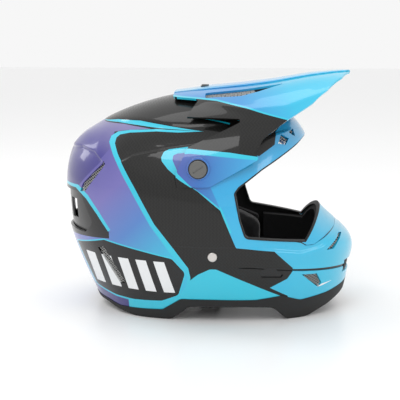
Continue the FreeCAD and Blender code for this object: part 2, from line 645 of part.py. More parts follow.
def dampers():
    """Waisted rubber dampers that stand on the outer liner and carry the inner one."""
    solids = []
    length = ISOLATION_GAP - DAMPER_PLAY
    for count, first, elevation in DAMPER_RINGS:
        for k in range(count):
            azimuth = first + 360.0 * k / count
            out = direction(azimuth, elevation)
            foot = surface_point(math.radians(azimuth), math.radians(elevation), OUTER_LINER_BACK)
            if foot.x > DAMPER_FRONT_LIMIT * SX and elevation < 30:
                continue
            rings = [Part.Wire(Part.makeCircle(d / 2, foot - out * z, out)) for d, z in
                     ((DAMPER_D, -3.0), (DAMPER_D, 0.6), (DAMPER_WAIST, length / 2 + 0.3),
                      (DAMPER_D - 2, length + 1.5))]
            solids.append(Part.makeLoft(rings, True))
    gap = layer(OUTER_LINER_BACK, INNER_LINER_FACE - DAMPER_PLAY)
    return gap.common(Part.makeCompound(solids)).Solids


def neck_roll():
    """Padded roll round the nape."""
    start = OUTER_LINER_BACK + 2.5
    return layer(start, start + NECK_ROLL_WALL).common(side_prism(NECK_ROLL_AREA))


def cheek_side(shape, side):
    """The half of a shape on one side of the middle plane."""
    return shape.common(Part.makeBox(2 * FAR, FAR, 2 * FAR, Vector(-FAR, 0 if side > 0 else -FAR, -FAR)))


def studs(side):
    """Snap studs set into the back of a cheek pad."""
    solids = []
    for x, z in STUD_PLACES:
        y = half_width(x, z, CHEEK_PAD_FACE) - 3.0
        solids.append(pin(PAD_STUD_D / 2, x * SX, z * SZ, y - 3.0, y + 3.0 + PAD_STUD_H, side))
    return solids


def cheek_foam(side):
    """Hard foam block behind a cheek pad, hollowed where the strap and the studs go."""
    body = cheek_side(layer(CHEEK_FOAM_FACE, CHEEK_FOAM_BACK).common(side_prism(CHEEK_FOAM_AREA)), side)
    pockets = [pin(PAD_STUD_D / 2 + CLEAR, s.BoundBox.Center.x, s.BoundBox.Center.z,
                   40, s.BoundBox.YMax + CLEAR if side > 0 else -s.BoundBox.YMin + CLEAR, side)
               for s in studs(side)]
    return largest(body.cut(pockets + strap_room(side)))


def cheek_pad(side):
    """Padded cheek with its studs and release loop set in."""
    body = cheek_side(layer(CHEEK_PAD_FACE, CHEEK_PAD_BACK).common(side_prism(CHEEK_PAD_AREA)), side)
    return body.cut(studs(side) + [release_tab(side)])


def release_tab(side):
    """Webbing loop under a cheek pad that pulls it out in an emergency."""
    y = half_width(TAB_X, 46, CHEEK_PAD_FACE) - 12.0
    loop = band([(y + 5, 47), (y + 5, 28, 3), (y - 5, 28, 3), (y - 5, 47)], TAB_WALL, TAB_WIDTH, TAB_X * SX)
    if side < 0:
        loop = loop.mirror(Vector(0, 0, 0), Vector(0, 1, 0))
    return loop


# ---------------------------------------------------------------- chin bar
def chin_foam():
    """Energy absorbing foam inside the chin bar."""
    start = SHELL_WALL + LINER_GAP
    body = layer(start, start + CHIN_FOAM_WALL).common(side_prism(CHIN_FOAM_AREA))
    cuts = [mouth_slot(0.3), side_prism(EYEPORT)]
    for outline in (CHIN_UPPER_VENT, CHIN_SIDE_VENT):
        cuts += side_pair(grown(outline, SCREEN_LAP + 0.3), 16.0)
    return largest(body.cut(cuts))


# ---------------------------------------------------------------- chin strap
def band(route, wall, width, x):
    """Flat webbing along a route of (y, z, bend radius), centred on x."""
    face = rounded_face(beside(route, wall / 2) + beside(route, -wall / 2)[::-1])
    return prism(face, FRONT_VIEW, x - width / 2, x + width / 2)


def beside(route, distance):
    """A route moved sideways: to the left of its direction where the distance is positive."""
    points = [Vector(p[0], p[1], 0) for p in route]
    moved = []
    for k, point in enumerate(points):
        before = (point - points[k - 1]).normalize() if k else None
        after = (points[k + 1] - point).normalize() if k + 1 < len(points) else None
        a, b = before or after, after or before
        normal = (Vector(-a.y, a.x, 0) + Vector(-b.y, b.x, 0)).normalize()
        shifted = point + normal * (distance / normal.dot(Vector(-a.y, a.x, 0)))
        bend = route[k][2] if len(route[k]) > 2 else 0.0
        if bend:
            bend -= math.copysign(1.0, a.x * b.y - a.y * b.x) * distance
        moved.append((shifted.x, shifted.y, bend))
    return moved


STRAP_LOW = STRAP_Z - STRAP_DROP
PLATE_BACK = half_width(STRAP_X, STRAP_Z, SHELL_WALL) - PLATE_INSET
STRAP_MIDDLE = (CHEEK_FOAM_FACE + SHELL_WALL) / 2 + 1.0


def strap_route(side):
    """Route of the webbing on one side, from its sewn end round the plate to the middle."""
    out = PLATE_BACK + PLATE_WALL + 1.6
    inner = PLATE_BACK - 1.6
    low = STRAP_LOW * SZ
    turn = (PLATE_SLOT_Z + 0.4) * SZ
    route = [(out, 54 * SZ), (out, turn, 2.0), (inner, turn, 2.0), (inner - 0.5, 54 * SZ, 20),
             (half_width(STRAP_X, 38, STRAP_MIDDLE), 38 * SZ, 16), (80 * SY, 17 * SZ, 20),
             (46 * SY, low + 2.5, 60), (0.0, low)]
    return mirrored(route, side)


def mirrored(route, side):
    """A route on the wearer's left, or its mirror image on the right."""
    return [(side * p[0],) + tuple(p[1:]) for p in route]


def webbing():
    """The strap, fastened under the chin: a left and a right half that meet in the middle."""
    return [band(strap_route(side), STRAP_WALL, STRAP_WIDTH, RIVET_X) for side in (-1, 1)]


def strap_tail():
    """Free end of the strap, folded back through the rings."""
    low = STRAP_LOW * SZ
    rise = STRAP_WALL + 0.5
    return band([(52 * SY, low + 3.6 + rise, 0), (30 * SY, low + 1.6 + rise, 60), (2 * SY, low + rise)],
                STRAP_WALL, STRAP_WIDTH - 1, RIVET_X)


def anchor_plate(side):
    """Steel hanger that swings on a rivet and carries the webbing in its slot."""
    width = STRAP_WIDTH + 9.0
    low, high = PLATE_FOOT * SZ, RIVET_Z + 9.0
    face = rounded_face([(RIVET_X - width / 2, low, 3), (RIVET_X + width / 2, low, 3),
                         (RIVET_X + 9, high, 6), (RIVET_X - 9, high, 6)])
    y = (PLATE_BACK, PLATE_BACK + PLATE_WALL)
    plate = prism(face, SIDE_VIEW, -y[1], -y[0])
    slot = Part.makeBox(STRAP_WIDTH + 1.5, 3 * PLATE_WALL, 4.4,
                        Vector(RIVET_X - STRAP_WIDTH / 2 - 0.75, y[0] - PLATE_WALL, PLATE_SLOT_Z * SZ - 2.2))
    plate = plate.cut([slot, pin(RIVET_SHANK_D / 2 + 0.08, RIVET_X, RIVET_Z, 60, FAR, 1)])
    return plate if side > 0 else plate.mirror(Vector(0, 0, 0), Vector(0, 1, 0))


def rivet(side):
    """Strap rivet with its dome outside, its collar and its closed end inside."""
    head = pin(RIVET_HEAD_D / 2, RIVET_X, RIVET_Z, RIVET_FACE, RIVET_FACE + 2.4, side)
    rim = [e for e in head.Edges if abs(abs(e.CenterOfMass.y) - RIVET_FACE - 2.4) < 1e-6]
    head = head.makeFillet(1.4, rim)
    inner_wall = half_width(STRAP_X, STRAP_Z - 4, SHELL_WALL) - 0.6
    return head.fuse([
        pin(RIVET_SHANK_D / 2, RIVET_X, RIVET_Z, PLATE_BACK - 1.9, RIVET_FACE + 1, side),
        pin(RIVET_SHANK_D / 2 + 2, RIVET_X, RIVET_Z, PLATE_BACK + PLATE_WALL + 0.3, inner_wall, side),
        pin(RIVET_SHANK_D / 2 + 2, RIVET_X, RIVET_Z, PLATE_BACK - 1.9, PLATE_BACK - 0.3, side)])


def d_ring(y, z):
    """One D-shaped wire ring round the strap."""
    half, depth = STRAP_WIDTH / 2 + 2.6, 5.4
    path = rounded_face([(-half, -depth, 2.4), (half, -depth, 2.4), (half, depth, 5.0),
                         (-half, depth, 5.0)]).OuterWire
    start = path.Edges[0].valueAt(path.Edges[0].FirstParameter)
    along = path.Edges[0].tangentAt(path.Edges[0].FirstParameter)
    section = Part.Wire(Part.makeCircle(D_RING_WIRE / 2, start, along))
    ring = path.makePipeShell([section], True, True)
    ring.rotate(Vector(), Vector(1, 0, 0), 90 + D_RING_LEAN)
    ring.translate(Vector(RIVET_X, y, z))
    return ring


def pad_route():
    """Route of the left sleeve, along the inner face of the strap."""
    high, corner, low = strap_route(1)[4:7]
    start = (corner[0] + 0.72 * (high[0] - corner[0]), corner[1] + 0.72 * (high[1] - corner[1]))
    end = (corner[0] + 0.36 * (low[0] - corner[0]), corner[1] + 0.36 * (low[1] - corner[1]))
    return beside([start, corner, end], -(STRAP_WALL + STRAP_PAD_WALL) / 2 - 0.1)


def strap_pads():
    """Padded sleeves between the strap and the wearer's throat."""
    return [band(mirrored(pad_route(), side), STRAP_PAD_WALL, STRAP_WIDTH + 2 * STRAP_PAD_MARGIN, RIVET_X)
            for side in (-1, 1)]


def strap_room(side):
    """Space that one side of the strap and its sleeve need as they swing."""
    sleeve = band(mirrored(pad_route(), side), STRAP_PAD_WALL + 2.4,
                  STRAP_WIDTH + 2 * STRAP_PAD_MARGIN + 2.0, RIVET_X)
    first, *middle, last = strap_route(side)[3:7]
    strap = band([first[:2], *middle, last[:2]], STRAP_WALL + 2.4, STRAP_WIDTH + 2.0, RIVET_X)
    room = []
    for k in range(-SWING_STEPS, SWING_STEPS + 1):
        for piece in (sleeve, strap):
            turned = piece.copy()
            turned.rotate(Vector(RIVET_X, 0, RIVET_Z), Vector(0, 1, 0), k * STRAP_SWING / SWING_STEPS)
            room.append(turned)
    return room


def strap_snap():
    """Press stud that parks the strap's free end."""
    low = STRAP_LOW * SZ
    return Part.makeCylinder(5.5, 1.8, Vector(RIVET_X, 14.0 * SY, low + 2 * STRAP_WALL + 1.4))


# ---------------------------------------------------------------- build
def export(name, solids):
    """Write one node; a group of like pieces stays separate solids."""
    if isinstance(solids, list):
        shape = Part.makeCompound(solids) if len(solids) > 1 else solids[0]
    else:
        shape = solids
    shape.exportStep(os.path.join("parts", name + ".step"))


def build():
    """Make every node and write it out."""
    os.makedirs("parts", exist_ok=True)
    shell_solid = shell()
    export("outer_shell", shell_solid)
    export("bottom_trim", rubber_edge(shell_solid))
    export("nose_guard", nose_guard())
    export("eyeport_trim", gasket())
    export("rear_port", rear_port())
    export("mouth_grille", mouth_grille())
    export("brow_vent_screens", screens(BROW_VENT, BROW_VENT_INNER))
    export("chin_upper_screens", screens(CHIN_UPPER_VENT))
    export("chin_side_screens", screens(CHIN_SIDE_VENT))
    export("rear_upper_screens", rear_upper_screens())
    export("rear_lower_screens", screens(REAR_LOWER_VENT))
    export("visor", visor())
    export("visor_screens", visor_screens())
    export("visor_inserts", inserts())
    export("visor_top_screw", top_screw())
    export("outer_liner", outer_liner())
    export("inner_liner", inner_liner())
    export("isolation_dampers", dampers())
    export("comfort_liner", layer(INNER_LINER_BACK, COMFORT_BACK).common(side_prism(COMFORT_AREA)))
    export("neck_roll", neck_roll())
    export("chin_foam", chin_foam())
    export("chin_strap", webbing())
    export("strap_tail", strap_tail())
    export("strap_pads", strap_pads())
    export("strap_snap", strap_snap())
    export("d_rings", [d_ring(BUCKLE_Y * SY + 6, 13.2 * SZ), d_ring(BUCKLE_Y * SY - 3, 11.2 * SZ)])
    for name, side in (("left", 1), ("right", -1)):
        export("visor_screw_" + name, side_screw(side))
        export("strap_rivet_" + name, rivet(side))
        export("strap_anchor_" + name, anchor_plate(side))
        export("cheek_foam_" + name, cheek_foam(side))
        export("cheek_pad_" + name, cheek_pad(side))
        export("cheek_studs_" + name, studs(side))
        export("release_tab_" + name, release_tab(side))


build()
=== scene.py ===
import math

import bmesh
import bpy
import numpy as np
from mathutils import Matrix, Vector


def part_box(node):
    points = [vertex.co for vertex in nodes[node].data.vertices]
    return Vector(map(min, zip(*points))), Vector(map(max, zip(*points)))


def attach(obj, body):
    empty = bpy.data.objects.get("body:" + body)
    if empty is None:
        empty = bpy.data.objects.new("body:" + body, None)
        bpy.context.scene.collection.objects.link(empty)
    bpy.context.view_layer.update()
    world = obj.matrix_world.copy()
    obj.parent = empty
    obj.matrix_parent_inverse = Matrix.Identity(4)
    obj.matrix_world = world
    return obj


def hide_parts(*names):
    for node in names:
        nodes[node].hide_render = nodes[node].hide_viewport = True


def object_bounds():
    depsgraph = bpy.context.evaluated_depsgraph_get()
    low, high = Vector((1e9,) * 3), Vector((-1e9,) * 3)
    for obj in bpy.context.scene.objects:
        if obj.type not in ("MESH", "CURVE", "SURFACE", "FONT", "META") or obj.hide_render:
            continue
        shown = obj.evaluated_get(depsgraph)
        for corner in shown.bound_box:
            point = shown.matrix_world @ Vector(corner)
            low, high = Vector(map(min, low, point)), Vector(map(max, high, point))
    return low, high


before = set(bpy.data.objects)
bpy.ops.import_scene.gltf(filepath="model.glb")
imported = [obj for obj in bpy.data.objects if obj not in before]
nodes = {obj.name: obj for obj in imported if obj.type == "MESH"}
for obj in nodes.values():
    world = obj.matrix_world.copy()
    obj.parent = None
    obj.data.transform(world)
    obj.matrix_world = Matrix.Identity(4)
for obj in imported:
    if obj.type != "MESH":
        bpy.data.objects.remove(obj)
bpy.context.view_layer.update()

MM = 0.001


# ---------------------------------------------------------------- materials
def srgb(r, g, b):
    """A colour given as it looks on screen, 0 to 255, as linear light."""
    shares = [c / 255 for c in (r, g, b)]
    return tuple(((c + 0.055) / 1.055) ** 2.4 if c > 0.04 else c / 12.92 for c in shares) + (1.0,)


def pattern(tree, kind, scale):
    """The fine detail of a finish, as a socket from 0 to 1."""
    new, link = tree.nodes.new, tree.links.new
    coord = new("ShaderNodeTexCoord")
    if kind in ("weave", "carbon", "webbing"):
        turn = new("ShaderNodeMapping")
        turn.inputs["Rotation"].default_value = (0, math.radians(45 if kind == "carbon" else 8), 0)
        link(coord.outputs["Object"], turn.inputs["Vector"])
        waves = []
        for axis in ("X", "Z"):
            wave = new("ShaderNodeTexWave")
            wave.wave_type = "BANDS"
            wave.bands_direction = axis
            wave.inputs["Scale"].default_value = scale
            wave.inputs["Distortion"].default_value = 0.4
            link(turn.outputs["Vector"], wave.inputs["Vector"])
            waves.append(wave)
        check = new("ShaderNodeTexChecker")
        check.inputs["Scale"].default_value = scale * 3.2
        link(turn.outputs["Vector"], check.inputs["Vector"])
        mix = new("ShaderNodeMix")
        link(check.outputs["Fac"], mix.inputs[0])
        link(waves[0].outputs["Fac"], mix.inputs[2])
        link(waves[1].outputs["Fac"], mix.inputs[3])
        return mix.outputs[0]
    if kind == "beads":
        cells = new("ShaderNodeTexVoronoi")
        cells.inputs["Scale"].default_value = scale
        link(coord.outputs["Object"], cells.inputs["Vector"])
        return cells.outputs["Distance"]
    noise = new("ShaderNodeTexNoise")
    noise.inputs["Scale"].default_value = scale
    noise.inputs["Detail"].default_value = 4.0
    if kind == "brushed":
        stretch = new("ShaderNodeMapping")
        stretch.inputs["Scale"].default_value = (1.0, 1.0, 12.0)
        link(coord.outputs["Object"], stretch.inputs["Vector"])
        link(stretch.outputs["Vector"], noise.inputs["Vector"])
    else:
        link(coord.outputs["Object"], noise.inputs["Vector"])
    return noise.outputs["Fac"]


def finish(name, colour, rough, kind="grain", scale=900.0, spread=0.06, bump=0.05, depth=0.1, metal=0.0,
           coat=0.0, ramp=None, line=None, sheen=0.0, specular=0.5):
    """A procedural finish. A ramp is a list of (place, colour) along the line (start, end), in mm."""
    made = bpy.data.materials.new(name)
    made.use_nodes = True
    tree = made.node_tree
    new, link = tree.nodes.new, tree.links.new
    bsdf = tree.nodes["Principled BSDF"]
    bsdf.inputs["Roughness"].default_value = rough
    bsdf.inputs["Metallic"].default_value = metal
    bsdf.inputs["Coat Weight"].default_value = coat
    bsdf.inputs["Coat Roughness"].default_value = 0.04
    bsdf.inputs["Sheen Weight"].default_value = sheen
    bsdf.inputs["Specular IOR Level"].default_value = specular
    detail = pattern(tree, kind, scale)
    if ramp:
        start, end = (np.array(p, float) * MM for p in line)
        along = (end - start) / float(np.dot(end - start, end - start))
        coord = new("ShaderNodeTexCoord")
        dot = new("ShaderNodeVectorMath")
        dot.operation = "DOT_PRODUCT"
        dot.inputs[1].default_value = tuple(along)
        link(coord.outputs["Object"], dot.inputs[0])
        shift = new("ShaderNodeMath")
        shift.operation = "SUBTRACT"
        shift.inputs[1].default_value = float(np.dot(start, along))
        link(dot.outputs["Value"], shift.inputs[0])
        colours = new("ShaderNodeValToRGB")
        for k, (place, tint) in enumerate(ramp):
            stop = colours.color_ramp.elements[k] if k < 2 else colours.color_ramp.elements.new(place)
            stop.position = place
            stop.color = srgb(*tint)
        link(shift.outputs[0], colours.inputs[0])
        base = colours.outputs["Color"]
    else:
        flat = new("ShaderNodeRGB")
        flat.outputs[0].default_value = srgb(*colour)
        base = flat.outputs[0]
    shade = new("ShaderNodeMapRange")
    shade.inputs["To Min"].default_value = 1.0 - spread
    shade.inputs["To Max"].default_value = 1.0 + spread
    link(detail, shade.inputs["Value"])
    tint = new("ShaderNodeVectorMath")
    tint.operation = "SCALE"
    link(base, tint.inputs[0])
    link(shade.outputs["Result"], tint.inputs["Scale"])
    link(tint.outputs["Vector"], bsdf.inputs["Base Color"])
    roughness = new("ShaderNodeMapRange")
    roughness.inputs["To Min"].default_value = max(0.02, rough - 0.04)
    roughness.inputs["To Max"].default_value = min(1.0, rough + 0.06)
    link(detail, roughness.inputs["Value"])
    link(roughness.outputs["Result"], bsdf.inputs["Roughness"])
    raised = new("ShaderNodeBump")
    raised.inputs["Strength"].default_value = bump
    raised.inputs["Distance"].default_value = depth * MM
    link(detail, raised.inputs["Height"])
    link(raised.outputs["Normal"], bsdf.inputs["Normal"])
    return made


def gloss(name, rough=0.3, spread=0.02, colour=None, ramp=None, line=None):
    """Paint under a clear coat: one colour, or a ramp of colours along a line."""
    return finish(name, colour, rough, scale=2200, spread=spread, bump=0.02, coat=0.8, ramp=ramp, line=line)


def moulded(name, ramp, line):
    """The visor's shiny plastic."""
    return finish(name, None, 0.32, scale=2000, spread=0.02, bump=0.04, coat=0.6, ramp=ramp, line=line)


MAT = {
    "carbon": finish("carbon", (20, 20, 19), 0.36, "carbon", 110, 0.4, 0.12, 0.05, coat=0.55, specular=0.15),
    "light_blue": gloss("light_blue", ramp=[(0.0, (26, 146, 208)), (0.45, (30, 170, 216)),
                                            (1.0, (30, 182, 216))], line=((40, 0, 230), (150, 0, 60))),
    "cyan": gloss("cyan", colour=(18, 188, 214)),
    "purple": gloss("purple", spread=0.03,
                    ramp=[(0.0, (36, 24, 112)), (0.55, (52, 44, 132)), (1.0, (112, 106, 158))],
                    line=((-165, 0, 165), (-105, 0, 232))),
    "violet": gloss("violet", 0.32, ramp=[(0.0, (74, 66, 146)), (0.3, (106, 100, 172)),
                                          (0.62, (66, 120, 190)), (1.0, (24, 180, 214))],
                    line=((-140, 0, 185), (-38, 0, 78))),
    "wing": gloss("wing", 0.32, ramp=[(0.0, (66, 78, 160)), (0.4, (34, 102, 180)), (1.0, (44, 160, 212))],
                  line=((-36, 0, 196), (52, 0, 176))),
    "black": finish("black", (13, 13, 14), 0.25, scale=2600, spread=0.1, bump=0.03, coat=0.6, specular=0.2),
    "white": finish("white", (226, 228, 229), 0.35, scale=2200, spread=0.02, bump=0.02, coat=0.6),
    "visor_top": moulded("visor_top", [(0.0, (124, 184, 216)), (0.3, (52, 156, 212)), (0.7, (60, 178, 222)),
                                       (1.0, (84, 190, 224))], ((-20, 0, 260), (170, 0, 285))),
    "visor_side": moulded("visor_side", [(0.0, (32, 134, 200)), (0.5, (38, 180, 216)), (1.0, (54, 190, 222))],
                          ((40, 0, 240), (160, 0, 280))),
    "inside": finish("inside", (22, 22, 23), 0.7, scale=700, spread=0.2, bump=0.2),
}


def dress(name, material):
    """Gives a CAD node its finish."""
    mesh = nodes[name].data
    mesh.materials.clear()
    mesh.materials.append(material)


# ---------------------------------------------------------------- outlines
def rounded(points, step=2.0):
    """An outline as an array of points, with the corners (u, v, r) rounded to radius r."""
    out = []
    count = len(points)
    for k, p in enumerate(points):
        corner = np.array(p[:2], float)
        radius = p[2] if len(p) > 2 else 0.0
        if not radius:
            out.append(corner)
            continue
        before = np.array(points[k - 1][:2], float) - corner
        after = np.array(points[(k + 1) % count][:2], float) - corner
        before /= np.linalg.norm(before)
        after /= np.linalg.norm(after)
        half = math.acos(max(-1.0, min(1.0, float(before @ after)))) / 2
        reach = radius / math.tan(half)
        start, end = corner + before * reach, corner + after * reach
        centre = corner + (before + after) / np.linalg.norm(before + after) * radius / math.sin(half)
        turns = max(2, int(radius * (math.pi - 2 * half) / step) + 1)
        for i in range(turns + 1):
            point = start + (end - start) * i / turns
            away = point - centre
            out.append(centre + away / np.linalg.norm(away) * radius)
    return np.array(out)


def inside(u, v, outline):
    """Which of the points (u, v) lie inside an outline."""
    hit = np.zeros(len(u), bool)
    for (x0, y0), (x1, y1) in zip(outline, np.roll(outline, -1, axis=0)):
        if y0 == y1:
            continue
        crosses = (y0 > v) != (y1 > v)
        hit ^= crosses & (u < (x1 - x0) * (v - y0) / (y1 - y0) + x0)
    return hit


def ribbon(points, width):
    """The outline of a stripe of one width along a line."""
    line = np.array(points, float)
    ahead = np.gradient(line, axis=0)
    ahead /= np.linalg.norm(ahead, axis=1)[:, None]
    out = np.stack([-ahead[:, 1], ahead[:, 0]], axis=1) * width / 2
    return [tuple(p) for p in np.vstack([line + out, (line - out)[::-1]])]


def circle(x, z, radius, count=28):
    """A round outline."""
    return [(x + radius * math.cos(2 * math.pi * k / count), z + radius * math.sin(2 * math.pi * k / count))
            for k in range(count)]


# ---------------------------------------------------------------- the helmet's surface, in mm
OUTLINE = [(-176, 176), (-178, 136), (-174, 97), (-161, 58), (-143, 18), (-105, -48), (0, -75), (110, -60),
           (166, 18), (173, 55), (177, 84), (174, 91), (155, 105), (137, 123), (122, 165), (117, 207),
           (108, 226), (86, 243), (48, 257), (3, 263), (-40, 259.5), (-85, 248), (-130, 228), (-165, 204)]
CENTRE = np.array([0.0, 0.0, 140.0])
HALF_WIDTH = 125.0
WALL = 3.0


def radius_table(count=1440, soften=2.2):
    """Angles and radii of the side outline: a smooth closed curve, slightly softened."""
    polar = sorted((math.atan2(z - CENTRE[2], x), math.hypot(x, z - CENTRE[2])) for x, z in OUTLINE)
    a = np.array([p[0] for p in polar])
    r = np.array([p[1] for p in polar])
    a3 = np.concatenate([a - 2 * math.pi, a, a + 2 * math.pi])
    r3 = np.tile(r, 3)
    gap = np.diff(a3)
    rise = np.diff(r3) / gap
    slope = np.zeros(len(a3))
    slope[1:-1] = (rise[:-1] * gap[1:] + rise[1:] * gap[:-1]) / (gap[:-1] + gap[1:])
    angles = -math.pi + 2 * math.pi * np.arange(count) / count
    i = np.searchsorted(a3, angles, side="right") - 1
    s = (angles - a3[i]) / gap[i]
    radii = ((2 * s**3 - 3 * s**2 + 1) * r3[i] + (s**3 - 2 * s**2 + s) * gap[i] * slope[i]
             + (3 * s**2 - 2 * s**3) * r3[i + 1] + (s**3 - s**2) * gap[i] * slope[i + 1])
    reach = np.arange(-24, 25)
    kernel = np.exp(-(reach * 360 / count / soften) ** 2 / 2)
    radii = sum(np.roll(radii, k) * w for k, w in zip(reach, kernel)) / kernel.sum()
    return angles, radii


ANGLES, RADII = radius_table()


def beside(x, z, line):
    """Signed distance of points from a line in the side view: positive on its left."""
    best = np.full(len(x), 1e9)
    sign = np.zeros(len(x))
    for (x0, z0), (x1, z1) in zip(line, line[1:]):
        dx, dz = x1 - x0, z1 - z0
        t = np.clip(((x - x0) * dx + (z - z0) * dz) / (dx * dx + dz * dz), 0, 1)
        away = np.hypot(x - x0 - t * dx, z - z0 - t * dz)
        nearer = away < best
        best = np.where(nearer, away, best)
        sign = np.where(nearer, np.sign(dx * (z - z0) - dz * (x - x0)), sign)
    return best * sign


def fade(value, start, end):
    """Smooth step from 0 at start to 1 at end."""
    t = np.clip((value - start) / (end - start), 0, 1)
    return t * t * (3 - 2 * t)


SHOULDER = [(-118, 172), (-100, 187), (-84, 195.5), (-49, 203.5), (-19, 208), (20, 213), (65, 218),
            (100, 222)]
CROWN_EDGE = [(-150, 219), (-129, 228), (-108, 231), (-79, 232), (-51, 230), (-20, 229), (30, 232),
              (90, 236)]
BROW_RIM = [(40, 163), (66, 182), (104, 207), (116, 212)]
CHIN_RIM = [(36, 96), (80, 89), (112, 84), (135, 88), (160, 100)]
REAR_LIP = [(-172, 196), (-150, 200), (-132, 196), (-118, 184)]


def relief(p):
    """How far the sculpted surface stands off the plain one."""
    x, y, z = p.T
    out = np.zeros(len(x))
    side = fade(np.abs(y), 20, 60)
    d = beside(x, z, SHOULDER)
    ends = fade(x, -104, -82) * (1 - fade(x, 84, 104))
    out -= 2.6 * np.tanh(d / 1.6) * np.exp(-np.abs(d) / np.where(d > 0, 15.0, 11.0)) * ends * side
    d = beside(x, z, CROWN_EDGE)
    ends = fade(x, -165, -130) * (1 - fade(x, 60, 100))
    out += 1.3 * np.tanh(d / 2.0) * np.exp(-np.abs(d) / 10.0) * ends
    d = beside(x, z, BROW_RIM)
    out += 1.4 * np.exp(-(d / 9.0) ** 2) * fade(x, 36, 60)
    d = beside(x, z, CHIN_RIM)
    ends = fade(x, 48, 80) * (1 - fade(x, 150, 166))
    out += 2.0 * np.tanh(-d / 1.6) * np.exp(-np.abs(d) / 11.0) * ends
    d = beside(x, z, REAR_LIP)
    ends = (1 - fade(x, -128, -114)) * fade(np.abs(y), 8, 24)
    out += 2.2 * np.tanh(d / 1.6) * np.exp(-np.abs(d) / 10.0) * ends
    return out


def shell_gauge(p):
    """Zero on the sculpted surface, positive outside it."""
    v = p - CENTRE
    length = np.linalg.norm(v, axis=1)
    d = v / length[:, None]
    radius = np.interp(np.arctan2(d[:, 2], d[:, 0]), ANGLES, RADII, period=2 * math.pi)
    reach = 1.0 / np.hypot(np.hypot(d[:, 0], d[:, 2]) / radius, d[:, 1] / HALF_WIDTH)
    base = CENTRE + d * reach[:, None]
    return length - reach - relief(base)


def shell_project(p):
    """Moves points onto the sculpted surface, along the line from its centre."""
    v = p - CENTRE
    d = v / np.linalg.norm(v, axis=1)[:, None]
    return p - d * shell_gauge(p)[:, None]


def gradient(gauge, p, h=0.3):
    """Outward unit normals of a surface given by its gauge."""
    out = np.zeros_like(p)
    for axis in range(3):
        step = np.zeros(3)
        step[axis] = h
        out[:, axis] = gauge(p + step) - gauge(p - step)
    return out / np.linalg.norm(out, axis=1)[:, None]


def shell_normal(p):
    """Outward normals of the sculpted surface."""
    return gradient(shell_gauge, p)


# ---------------------------------------------------------------- the visor's surface, in mm
# Sections across the visor: place along it, height of the crest, half width, roundness.
STATIONS = np.array([(-75, 256.5, 126.5, 2.25), (-40, 263.8, 127, 2.25), (0, 268.8, 127, 2.3),
                     (40, 272.6, 125, 2.4), (80, 277.6, 117, 2.55), (120, 284.3, 106, 2.7),
                     (150, 287.2, 100, 2.75), (190, 289.5, 95, 2.8)])
FOOT = 140.0  # height at which the sections stand upright
VISOR_WALL = 2.6
PAD_RADIUS = 13.0     # round pads of the visor under its side screws
PANEL_EDGE = [(-30, 22), (60, 26), (120, 20), (165, 6)]
SHOULDER_LINE = [(-60, 262), (-9, 258), (14, 256), (50, 249), (92, 252), (130, 266), (165, 283)]


def visor_relief(p):
    """Creases of the visor: a raised middle panel and a fold along each shoulder."""
    x, y, z = p.T
    d = beside(x, np.abs(y), PANEL_EDGE)
    out = 1.0 * np.tanh(-d / 1.2) * np.exp(-np.abs(d) / 9.0) * fade(x, -30, 0) * fade(z, 235, 250)
    d = beside(x, z, SHOULDER_LINE)
    out = out + 1.4 * np.exp(-(d / 5.0) ** 2) * fade(np.abs(y), 30, 50) * fade(x, -30, 20)
    return out


def visor_gauge(p):
    """Zero on the visor's outer face, positive outside it."""
    x = p[:, 0]
    crest, half, n = (np.interp(x, STATIONS[:, 0], STATIONS[:, k]) for k in (1, 2, 3))
    a, b = np.abs(p[:, 1]) / half, np.maximum(p[:, 2] - FOOT, 0.01) / (crest - FOOT)
    share = (a**n + b**n) ** (1 / n)
    length = np.hypot(p[:, 1], p[:, 2] - FOOT)
    return length - length / share - visor_relief(p)


def visor_project(p):
    """Moves points onto the visor's outer face, across the visor."""
    v = np.stack([np.zeros(len(p)), p[:, 1], p[:, 2] - FOOT], axis=1)
    d = v / np.linalg.norm(v, axis=1)[:, None]
    return p - d * visor_gauge(p)[:, None]


def visor_normal(p):
    """Outward normals of the visor's outer face."""
    return gradient(visor_gauge, p)


# ---------------------------------------------------------------- sheets cut into crisp regions
def shell_grid(count):
    """Half of the helmet's surface (y <= 0) as an even grid of quads."""
    bm = bmesh.new()
    s = np.linspace(-1, 1, count + 1)
    a, b = np.meshgrid(s, s, indexing="ij")
    u, w = a * np.sqrt(1 - b**2 / 2), b * np.sqrt(1 - a**2 / 2)
    turn = math.radians(12)
    u, w = u * math.cos(turn) - w * math.sin(turn), u * math.sin(turn) + w * math.cos(turn)
    rho = np.minimum(np.hypot(u, w), 1.0)
    rim = (np.abs(a) > 1 - 1e-9) | (np.abs(b) > 1 - 1e-9)
    rho[rim] = 1.0
    angle = np.arctan2(w, u)
    radius = np.interp(angle, ANGLES, RADII, period=2 * math.pi)
    psi = rho * math.pi / 2
    y = np.where(rim, 0.0, -HALF_WIDTH * np.cos(psi))
    x = radius * np.sin(psi) * np.cos(angle)
    z = CENTRE[2] + radius * np.sin(psi) * np.sin(angle)
    return fill_grid(bm, np.stack([x, y, z], axis=-1)[:, ::-1])


def visor_grid(along, across):
    """Half of the visor's arch as a grid of quads."""
    bm = bmesh.new()
    x, t = np.meshgrid(np.linspace(-62, 176, along + 1), np.linspace(0, math.pi / 2, across + 1),
                       indexing="ij")
    crest, half, n = (np.interp(x, STATIONS[:, 0], STATIONS[:, k]) for k in (1, 2, 3))
    y = -np.cos(t).clip(0) ** (2 / n) * half
    y[:, -1] = 0.0
    z = FOOT + np.sin(t) ** (2 / n) * (crest - FOOT)
    return fill_grid(bm, np.stack([x, y, z], axis=-1)[:, ::-1])


